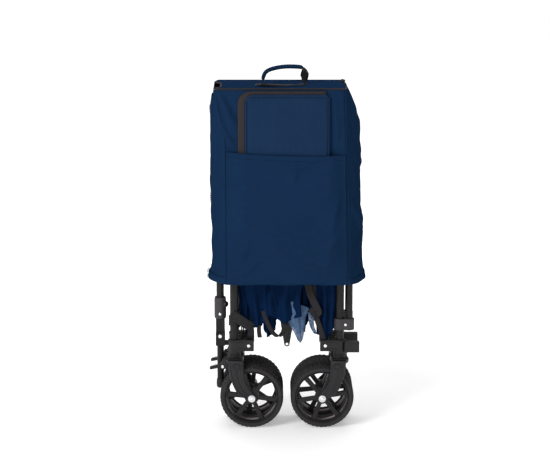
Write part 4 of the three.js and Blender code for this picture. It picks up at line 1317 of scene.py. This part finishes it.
def floor_mat():
    """The padded floor mat standing in the pocket, with a bound left and top edge and a painted shade line
    down its right edge.
    """
    left, right = MAT_LOW.x, MAT_HIGH.x
    low, high = MAT_LOW.z, MAT_HIGH.z
    front, back = MAT_LOW.y, MAT_HIGH.y
    rows, columns = 92, 60
    corner = 0.016
    sides = {}
    for face in (-1, 1):
        grid = np.zeros((rows, columns, 3))
        for i in range(rows):
            v = i / (rows - 1)
            for j in range(columns):
                u = j / (columns - 1)
                x = left + (right - left) * u
                z = low + (high - low) * v
                dx, dz = max(left + corner - x, 0), max(z - (high - corner), 0)
                if dx > 0 and dz > 0:
                    reach = math.hypot(dx, dz)
                    top = max(dx, dz)
                    square = top / reach
                    x = left + corner - dx * square
                    z = high - corner + dz * square
                edge = min(x - left, right - x, z - low, high - z) / 0.014
                puff = math.sqrt(max(0.0, 1 - (1 - min(edge, 1.0)) ** 2))
                y = (front + back) / 2 + face * (0.0012 + 0.0048 * puff)
                y += face * 0.0011 * crease(x * 0.8, 0.1, z * 0.8, 44.0) * min(edge, 1)
                if face < 0:
                    y = min(y, (front + back) / 2)
                grid[i, j] = (x, y, z)
        sides[face] = grid
    points = np.vstack([sides[-1].reshape(-1, 3), sides[1].reshape(-1, 3)])
    faces = grid_faces(rows, columns)
    count = rows * columns
    faces += [tuple(reversed([k + count for k in f])) for f in grid_faces(rows, columns)]
    rim_loop = ([j for j in range(columns)] + [i * columns + columns - 1 for i in range(1, rows)]
                + [(rows - 1) * columns + j for j in range(columns - 2, -1, -1)]
                + [i * columns for i in range(rows - 2, 0, -1)])
    for a, b in zip(rim_loop, rim_loop[1:] + rim_loop[:1]):
        faces.append((a, b, b + count, a + count))
    uvs = [(p[0], p[2]) for p in points]
    mat = cleaned(mesh_object("floor_mat", points, faces, "mat", uvs, 50))
    put(mat, "cover", "mat_navy", "folded_mat")
    y = (front + back) / 2 - 0.002
    outline = [(left - 0.001, y, low)] + [(left - 0.001, y, z)
                                          for z in np.linspace(low + 0.01, high - corner, 40)]
    outline += [(left + corner + corner * math.cos(a), y, high - corner + (corner + 0.001) * math.sin(a))
                for a in np.linspace(math.pi * 0.97, math.pi / 2, 12)]
    outline += [(x, y, high + 0.001) for x in np.linspace(left + corner + 0.004, right - 0.004, 40)]
    put(tube("mat_binding", outline, 0.003, "mat", 12), "cover", "mat_navy")
    # A navy tube, a little darker than the mat, along its right edge: painted shade for the shadow line
    # beside the mat.
    right_line = [(right + 0.0008, y + 0.001, z) for z in np.linspace(low, high - 0.002, 40)]
    put(tube("mat_right_painted_shade", right_line, 0.0026, "cover", 12), "cover", "cover_navy")


def mat_black_edge():
    """A black strap beside the mat's left edge and above its top."""
    left, high = MAT_LOW.x, MAT_HIGH.z
    y = COVER_FRONT - 0.0042
    path = [(left - 0.0115, y, z) for z in np.linspace(POCKET_HIGH.z - 0.05, high - 0.018, 36)]
    path += [(left - 0.0115 + 0.022 * (1 - math.cos(a)), y, high - 0.018 + 0.0205 * math.sin(a))
             for a in np.linspace(0.12, math.pi / 2, 12)]
    path += [(x, y, high + 0.0028) for x in np.linspace(left + 0.018, MAT_HIGH.x - 0.006, 30)]
    path = np.array(path)
    tangent = tangents(path)
    across = np.cross(tangent, ACROSS)
    put(strap("mat_black_edge_band", path, 0.0175, "bind", across, 0.003), "cover", "webbing_black")


def carry_handle():
    """A padded navy grip on black webbing legs that are boxed and stitched to the top."""
    low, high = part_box("carry_handle")
    y = (low.y + high.y) / 2
    base = COVER_TOP - 0.003
    bend = curved([(low.x + 0.003, y, base), (low.x + 0.003, y, base + 0.009),
                   (low.x + 0.01, y, high.z - 0.021), (low.x + 0.026, y, high.z - 0.0118),
                   (low.x + 0.056, y, high.z - 0.0062), (high.x - 0.024, y, high.z - 0.0062),
                   (high.x - 0.0095, y, high.z - 0.01), (high.x - 0.0045, y, base + 0.022),
                   (high.x - 0.004, y, base)], 9)
    turn = np.interp(np.arange(len(bend)), [0, 52, 62, len(bend) - 6, len(bend) - 1], [0, 0, 0.95, 0.6, 0])
    across = [(math.sin(t), math.cos(t), 0) for t in turn]
    web = strap("carry_webbing", bend, 0.025, "web", across, 0.0022)
    put(web, "cover", "webbing_black", "carry_handle")
    grip_path = bend[11:54]
    taper = np.interp(np.linspace(0, 1, len(grip_path)), [0, 0.06, 0.94, 1], [0.82, 1, 1, 0.82])
    grip = tube("carry_grip", grip_path, 0.0138, "cover", 24, 0.36, UP, taper)
    put(grip, "cover", "cover_navy")
    for side in (-1, 1):
        line = shifted(grip_path[2:-2], 0, side * 0.0105, 0.0043)
        stitches("grip_stitches_" + str(side + 1), line, UP, 0.0038)
    anchor = [(low.x - 0.016, y, COVER_TOP - 0.0058), (low.x + 0.004, y, COVER_TOP - 0.004),
              (0, y, COVER_TOP - 0.0062), (high.x - 0.004, y, COVER_TOP - 0.004),
              (high.x + 0.016, y, COVER_TOP - 0.0058)]
    put(strap("carry_anchor", curved(anchor, 10), 0.026, "web", ACROSS, 0.003), "cover", "webbing_black")
    for k, x in enumerate((low.x + 0.004, high.x - 0.004)):
        box = [(x + u * 0.013, y + v * 0.01) for u, v in ((-1, -1), (1, -1), (1, 1), (-1, 1), (-1, -1))]
        line = []
        for (x0, y0), (x1, y1) in zip(box, box[1:]):
            line += [(x0 + (x1 - x0) * t, y0 + (y1 - y0) * t, COVER_TOP - 0.0021)
                     for t in np.linspace(0, 1, 8)[:-1]]
        stitches("patch_stitches_" + str(k), line, UP, 0.0032)


def corner_knob():
    """The small black cord stop at the cover's right top corner."""
    at = Vector((half_width(True, 0.06, 1) - 0.004, 0.07, COVER_TOP - 0.002))
    profile = [(0, 0.0085), (0.0042, 0.008), (0.0058, 0.006), (0.006, 0.002), (0.0045, 0), (0.0045, -0.003),
               (0, -0.003)]
    put(lathe("corner_cord_stop", profile, at, (0.25, 0, 1), "cast", 28), "cover", "webbing_black")


# ---------------------------------------------------------------- fabric tub
TUB_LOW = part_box("tub_side_near")[0].z
TUB_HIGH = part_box("tub_side_near")[1].z
TUB_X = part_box("tub_side_near")[1].x
TUB_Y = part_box("tub_side_far")[1].y


PLEAT_COLUMNS = 10
PLEAT_ROWS = 60


def pleats(length, depth, count, height, seed, lower):
    """A hanging pleated sheet as (s, d, z): s across its width, d into its depth, z up."""
    columns = count * PLEAT_COLUMNS + 1
    grid = np.zeros((PLEAT_ROWS, columns, 3))
    for i in range(PLEAT_ROWS):
        v = i / (PLEAT_ROWS - 1)
        for j in range(columns):
            t = j / (columns - 1)
            swing = math.sin(t * count * math.pi * 2 + 0.7 * noise.noise(Vector((t * 6, v * 2, seed))))
            round_swing = math.copysign(abs(swing) ** 0.75, swing)
            s = (t - 0.5) * length + 0.28 * length / count * math.sin(t * count * math.pi * 4 + 2 * v
                                                                      + seed)
            gather = 1 - 0.25 * v + 0.35 * noise.noise(Vector((t * 9, v * 3, seed + 4)))
            d = 0.5 + 0.5 * round_swing * max(0.35, min(1.0, gather))
            bottom = lower(t)
            z = bottom + (height - bottom) * v
            z += 0.004 * noise.noise(Vector((t * 30, v * 6, seed)))
            grid[i, j] = (s, d * depth, z)
    return grid


def hang_near(t):
    """The lower edge of the near tub side, folded up in bunches."""
    bumps = 0.024 * math.sin(t * 17 + 0.5) + 0.018 * math.sin(t * 31 + 1.9) + 0.008 * math.sin(t * 67)
    return TUB_LOW + 0.018 + bumps * 0.8


def tub_sheet(name, grid, node):
    """A wall of the tub, in place of its CAD node, fixed in world space."""
    obj = sheet_piece(name, grid, "tub", 0.0008)
    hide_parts(node)
    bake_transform(obj)


def tub():
    for side, name, seed in ((-1, "near", 1.7), (1, "far", 6.2)):
        raw = pleats(2 * TUB_X - 0.01, 0.021, 12, TUB_HIGH, seed, hang_near)
        grid = np.stack([raw[..., 0], side * (TUB_Y - 0.001 - raw[..., 1]), raw[..., 2]], axis=2)
        tub_sheet("tub_wall_" + name, grid, "tub_side_" + name)
        hem = [tuple(p + np.array([0, -side * 0.0004, 0.0])) for p in grid[-1]]
        edge = tube("tub_rim_" + name, hem, 0.0022, "bind", 8)
        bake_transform(edge)
    for sign, name, a, b, seed in ((1, "rear", "rear_near", "rear_far", 3.3),
                                   (-1, "front", "front_near", "tub_band", 9.1)):
        low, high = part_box("tub_end_" + name)
        raw = pleats(high.y - low.y + 0.008, 0.02, 4, TUB_HIGH, seed,
                     lambda t: TUB_LOW + 0.012 + 0.02 * math.sin(t * 9 + seed))
        outer = high.x if sign > 0 else low.x
        grid = np.stack([outer - sign * raw[..., 1], raw[..., 0], raw[..., 2]], axis=2)
        tub_sheet("tub_wall_" + name, grid, "tub_end_" + name)
    band()


def band():
    """The webbing that ties the tub to the front far post, with its overlap."""
    p = POST["front_far"]
    low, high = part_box("front_far_band")
    rows = []
    for z in np.linspace(low.z, high.z, 10):
        row = []
        for a in np.linspace(0, TAU * 1.06, 60):
            r = POST_R + 0.0016 + 0.0016 * a / TAU
            row.append((p.x + r * math.cos(a + 2.0), p.y + r * math.sin(a + 2.0), z))
        rows.append(row)
    obj = sheet_piece("front_far_webbing", rows, "web", 0.0013)
    put(obj, "tub_band", "webbing_black", "front_far_band")


def blend_near(obj):
    """Bakes a piece's transform into its mesh."""
    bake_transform(obj)


def fold_piece(name, outline, depth, seed, flat, material="tub", thickness=0.0008, waves=2.5):
    """A loose fold of tub cloth: a grid stretched between a top line and a bottom line, waved in depth."""
    top, bottom = (np.array(p, float) for p in outline)
    rows, columns = 30, 34
    grid = np.zeros((rows, columns, 3))
    for j in range(columns):
        u = j / (columns - 1)
        a = np.array([np.interp(u, np.linspace(0, 1, len(top)), top[:, k]) for k in range(3)])
        b = np.array([np.interp(u, np.linspace(0, 1, len(bottom)), bottom[:, k]) for k in range(3)])
        for i in range(rows):
            v = i / (rows - 1)
            p = b * (1 - v) + a * v
            wave = math.sin(u * waves * TAU + seed + 1.2
                            * v) * (0.35 + 0.65 * math.sin(math.pi * min(1, v * 0.9 + 0.1)))
            p = p + np.array([0.003 * math.sin(v * 5 + seed), depth * wave, 0])
            p = p + np.array([0, 0.004 * noise.noise(Vector((u * 5, v * 5, seed))), 0])
            grid[i, j] = p
    obj = sheet_piece(name, grid, material, thickness)
    blend_near(obj)


def loose_folds():
    """The cloth, netting and straps of the tub that hang out below the cover on the near side."""
    y = -TUB_Y - 0.016
    pieces = [
        ("tub_fold_left", y, [(-0.105, 0, 0.372), (-0.06, 0, 0.376), (-0.03, 0.003, 0.374)],
         [(-0.09, 0.004, 0.252), (-0.066, -0.004, 0.262), (-0.028, 0.002, 0.3)],
         0.006, 0.4, (0.1, 0.11)),
        ("tub_fold_post_left", 0,
         [(-0.126, -0.018, 0.384), (-0.112, -0.022, 0.384), (-0.094, -0.02, 0.384)],
         [(-0.121, -0.018, 0.266), (-0.108, -0.022, 0.252), (-0.09, -0.02, 0.262)], 0.003, 5.2,
         (0.036, 0.13), "tub", 0.0008, 1.5),
        ("tub_fold_post_right", 0, [(0.098, -0.017, 0.384), (0.122, -0.02, 0.384), (0.15, -0.017, 0.384)],
         [(0.1, -0.017, 0.262), (0.12, -0.02, 0.272), (0.14, -0.017, 0.322)],
         0.003, 2.6, (0.05, 0.11), "tub", 0.0008, 2.0),
        ("tub_fold_middle", y, [(-0.045, 0.004, 0.374), (0.0, -0.004, 0.376), (0.04, 0, 0.374)],
         [(-0.062, 0, 0.3), (-0.012, -0.006, 0.268), (0.034, 0, 0.286)], 0.007, 2.1, (0.1, 0.09)),
        ("tub_fold_right", y, [(0.068, 0, 0.374), (0.094, -0.006, 0.376), (0.122, 0, 0.374)],
         [(0.082, 0, 0.24), (0.101, -0.004, 0.226), (0.124, 0, 0.262)], 0.006, 4.0, (0.055, 0.14)),
        ("mesh_window_tip", y, [(-0.02, 0.006, 0.318), (0.018, 0.004, 0.322), (0.056, 0.006, 0.304)],
         [(0.024, 0.002, 0.222), (0.031, 0, 0.216), (0.036, 0.002, 0.222)],
         0.003, 1.0, (0.045, 0.075), "mesh", 0.0005, 1.0),
        ("mesh_window_strip", y, [(0.048, 0.004, 0.296), (0.056, 0.002, 0.292), (0.062, 0.004, 0.288)],
         [(0.066, 0.004, 0.24), (0.072, 0.002, 0.238), (0.078, 0.004, 0.236)],
         0.002, 3.0, (0.014, 0.055), "mesh", 0.0005, 1.0),
    ]
    for name, base, top, bottom, *rest in pieces:
        fold_piece(name, (shifted(top, 0, base, 0), shifted(bottom, 0, base, 0)), *rest)
    straps = [
        ("webbing_loop", [(-0.06, -0.004, 0.3), (-0.05, -0.007, 0.272), (-0.036, -0.009, 0.246),
                          (-0.022, -0.008, 0.236), (-0.01, -0.006, 0.246), (-0.006, -0.003, 0.272)], 7,
         0.011),
        ("webbing_fold", [(0.052, -0.004, 0.372), (0.058, -0.011, 0.345), (0.07, -0.014, 0.318),
                          (0.078, -0.011, 0.3), (0.07, -0.006, 0.292), (0.06, -0.004, 0.306)], 7, 0.019),
        ("webbing_tail", [(0.066, -0.002, 0.31), (0.074, -0.006, 0.28), (0.084, -0.008, 0.252),
                          (0.09, -0.006, 0.226)], 8, 0.014),
        ("webbing_end", [(-0.07, -0.003, 0.262), (-0.07, -0.008, 0.248), (-0.068, -0.007, 0.232)], 6,
         0.011),
    ]
    for name, points, steps, width in straps:
        path = curved(shifted(points, 0, y, 0), steps)
        blend_near(strap(name, path, width, "web", (0.9, -0.35, 0.25), 0.002))
    p = POST["front_near"]
    wrap = []
    for a in np.linspace(-0.4, 1.25, 40):
        t = a * math.pi
        wrap.append((p.x + (POST_R + 0.0024) * math.cos(t + math.pi),
                     p.y + (POST_R + 0.0024) * math.sin(t + math.pi), 0.274 + 0.01 * a))
    put(strap("post_band", wrap, 0.026, "web", UP, 0.0018), "front_near", "webbing_black")
    tail = curved([(p.x - 0.004, p.y - POST_R - 0.003, 0.292), (p.x + 0.014, p.y - POST_R - 0.006, 0.28),
                   (p.x + 0.032, p.y - POST_R - 0.002, 0.266), (p.x + 0.046, p.y - 0.004, 0.256)], 8)
    put(strap("post_band_tail", tail, 0.024, "web", (0.35, 0, 1), 0.002), "front_near", "webbing_black")


# ---------------------------------------------------------------- stage
LIGHT_TARGET = (0, 0, 0.4)
CAMERA_AT = (-0.03, -4.0, 1.32)
CAMERA_DOWN = 11.54
LENS = 107


def floor():
    """A white floor that glows, its emission low near the wagon and full further away, so that only its own
    shadow shows.
    """
    bpy.ops.mesh.primitive_plane_add(size=14, location=(0, 3.0, 0))
    ground = bpy.context.object
    ground.name = "floor"
    s = Surface("glowing_floor", (0.86, 0.86, 0.865), 0.9)
    s.shader.inputs["Specular IOR Level"].default_value = 0.1
    s.shader.inputs["Emission Color"].default_value = (1, 1, 1, 1)
    mapping = s.node("ShaderNodeMapping", Vector=s.coords)
    mapping.inputs["Location"].default_value = (0, 1.6, 0)
    mapping.inputs["Scale"].default_value = (0.55, 0.55, 0.55)
    near = s.node("ShaderNodeTexGradient", Vector=mapping.outputs["Vector"])
    near.gradient_type = "SPHERICAL"
    # Painted glow: the floor emits light, 0.34 near the wagon rising to 1 away from it, and so also lights
    # the wagon from below.
    s.links.new(s.ramp(near.outputs["Fac"], 0.0, 0.75, 1.0, 0.34), s.shader.inputs["Emission Strength"])
    ground.data.materials.append(s.material)


def area_light(name, at, width, height, power):
    data = bpy.data.lights.new(name, "AREA")
    data.shape = "RECTANGLE"
    data.size, data.size_y = width, height
    data.energy = power
    lamp = bpy.data.objects.new(name, data)
    lamp.location = at
    lamp.rotation_euler = (Vector(LIGHT_TARGET) - Vector(at)).to_track_quat("-Z", "Y").to_euler()
    bpy.context.scene.collection.objects.link(lamp)


def studio():
    world = bpy.data.worlds.new("studio")
    world.use_nodes = True
    world.node_tree.nodes["Background"].inputs["Color"].default_value = (1, 1, 1, 1)
    nodes, links = world.node_tree.nodes, world.node_tree.links
    ray = nodes.new("ShaderNodeTexCoord")
    parts = nodes.new("ShaderNodeSeparateXYZ")
    fade = nodes.new("ShaderNodeMapRange")
    fade.inputs["From Min"].default_value = 0.14
    fade.inputs["From Max"].default_value = 0.26
    fade.inputs["To Min"].default_value = 1.0
    fade.inputs["To Max"].default_value = 0.14
    links.new(ray.outputs["Generated"], parts.inputs["Vector"])
    links.new(parts.outputs["Z"], fade.inputs["Value"])
    links.new(fade.outputs["Result"], nodes["Background"].inputs["Strength"])
    bpy.context.scene.world = world
    area_light("key", (-2.1, -2.5, 2.5), 1.4, 1.4, 92)
    area_light("front_fill", (0.3, -4.2, 1.5), 2.0, 1.6, 20)
    area_light("top", (0.0, 0.8, 3.4), 3.0, 3.0, 80)
    bpy.context.scene.view_settings.view_transform = "Standard"
    camera = bpy.data.cameras.new("camera")
    camera.lens = LENS
    camera.sensor_width = 36
    camera.clip_start = 0.05
    camera.clip_end = 60
    eye = bpy.data.objects.new("camera", camera)
    eye.location = CAMERA_AT
    eye.rotation_euler = (math.radians(90 - CAMERA_DOWN), 0, 0)
    bpy.context.scene.collection.objects.link(eye)
    bpy.context.scene.camera = eye


for corner in CORNERS:
    tyre(corner)
    rim(corner)
    axle(corner)
    fork(corner)
for corner in ("front_near", "front_far"):
    brake(corner)
frame_parts()
handle()
left_wall = cover_walls()
cover_seams()
cover_hem()
zip_line(left_wall)
pocket()
floor_mat()
mat_black_edge()
carry_handle()
corner_knob()
tub()
loose_folds()
floor()
studio()
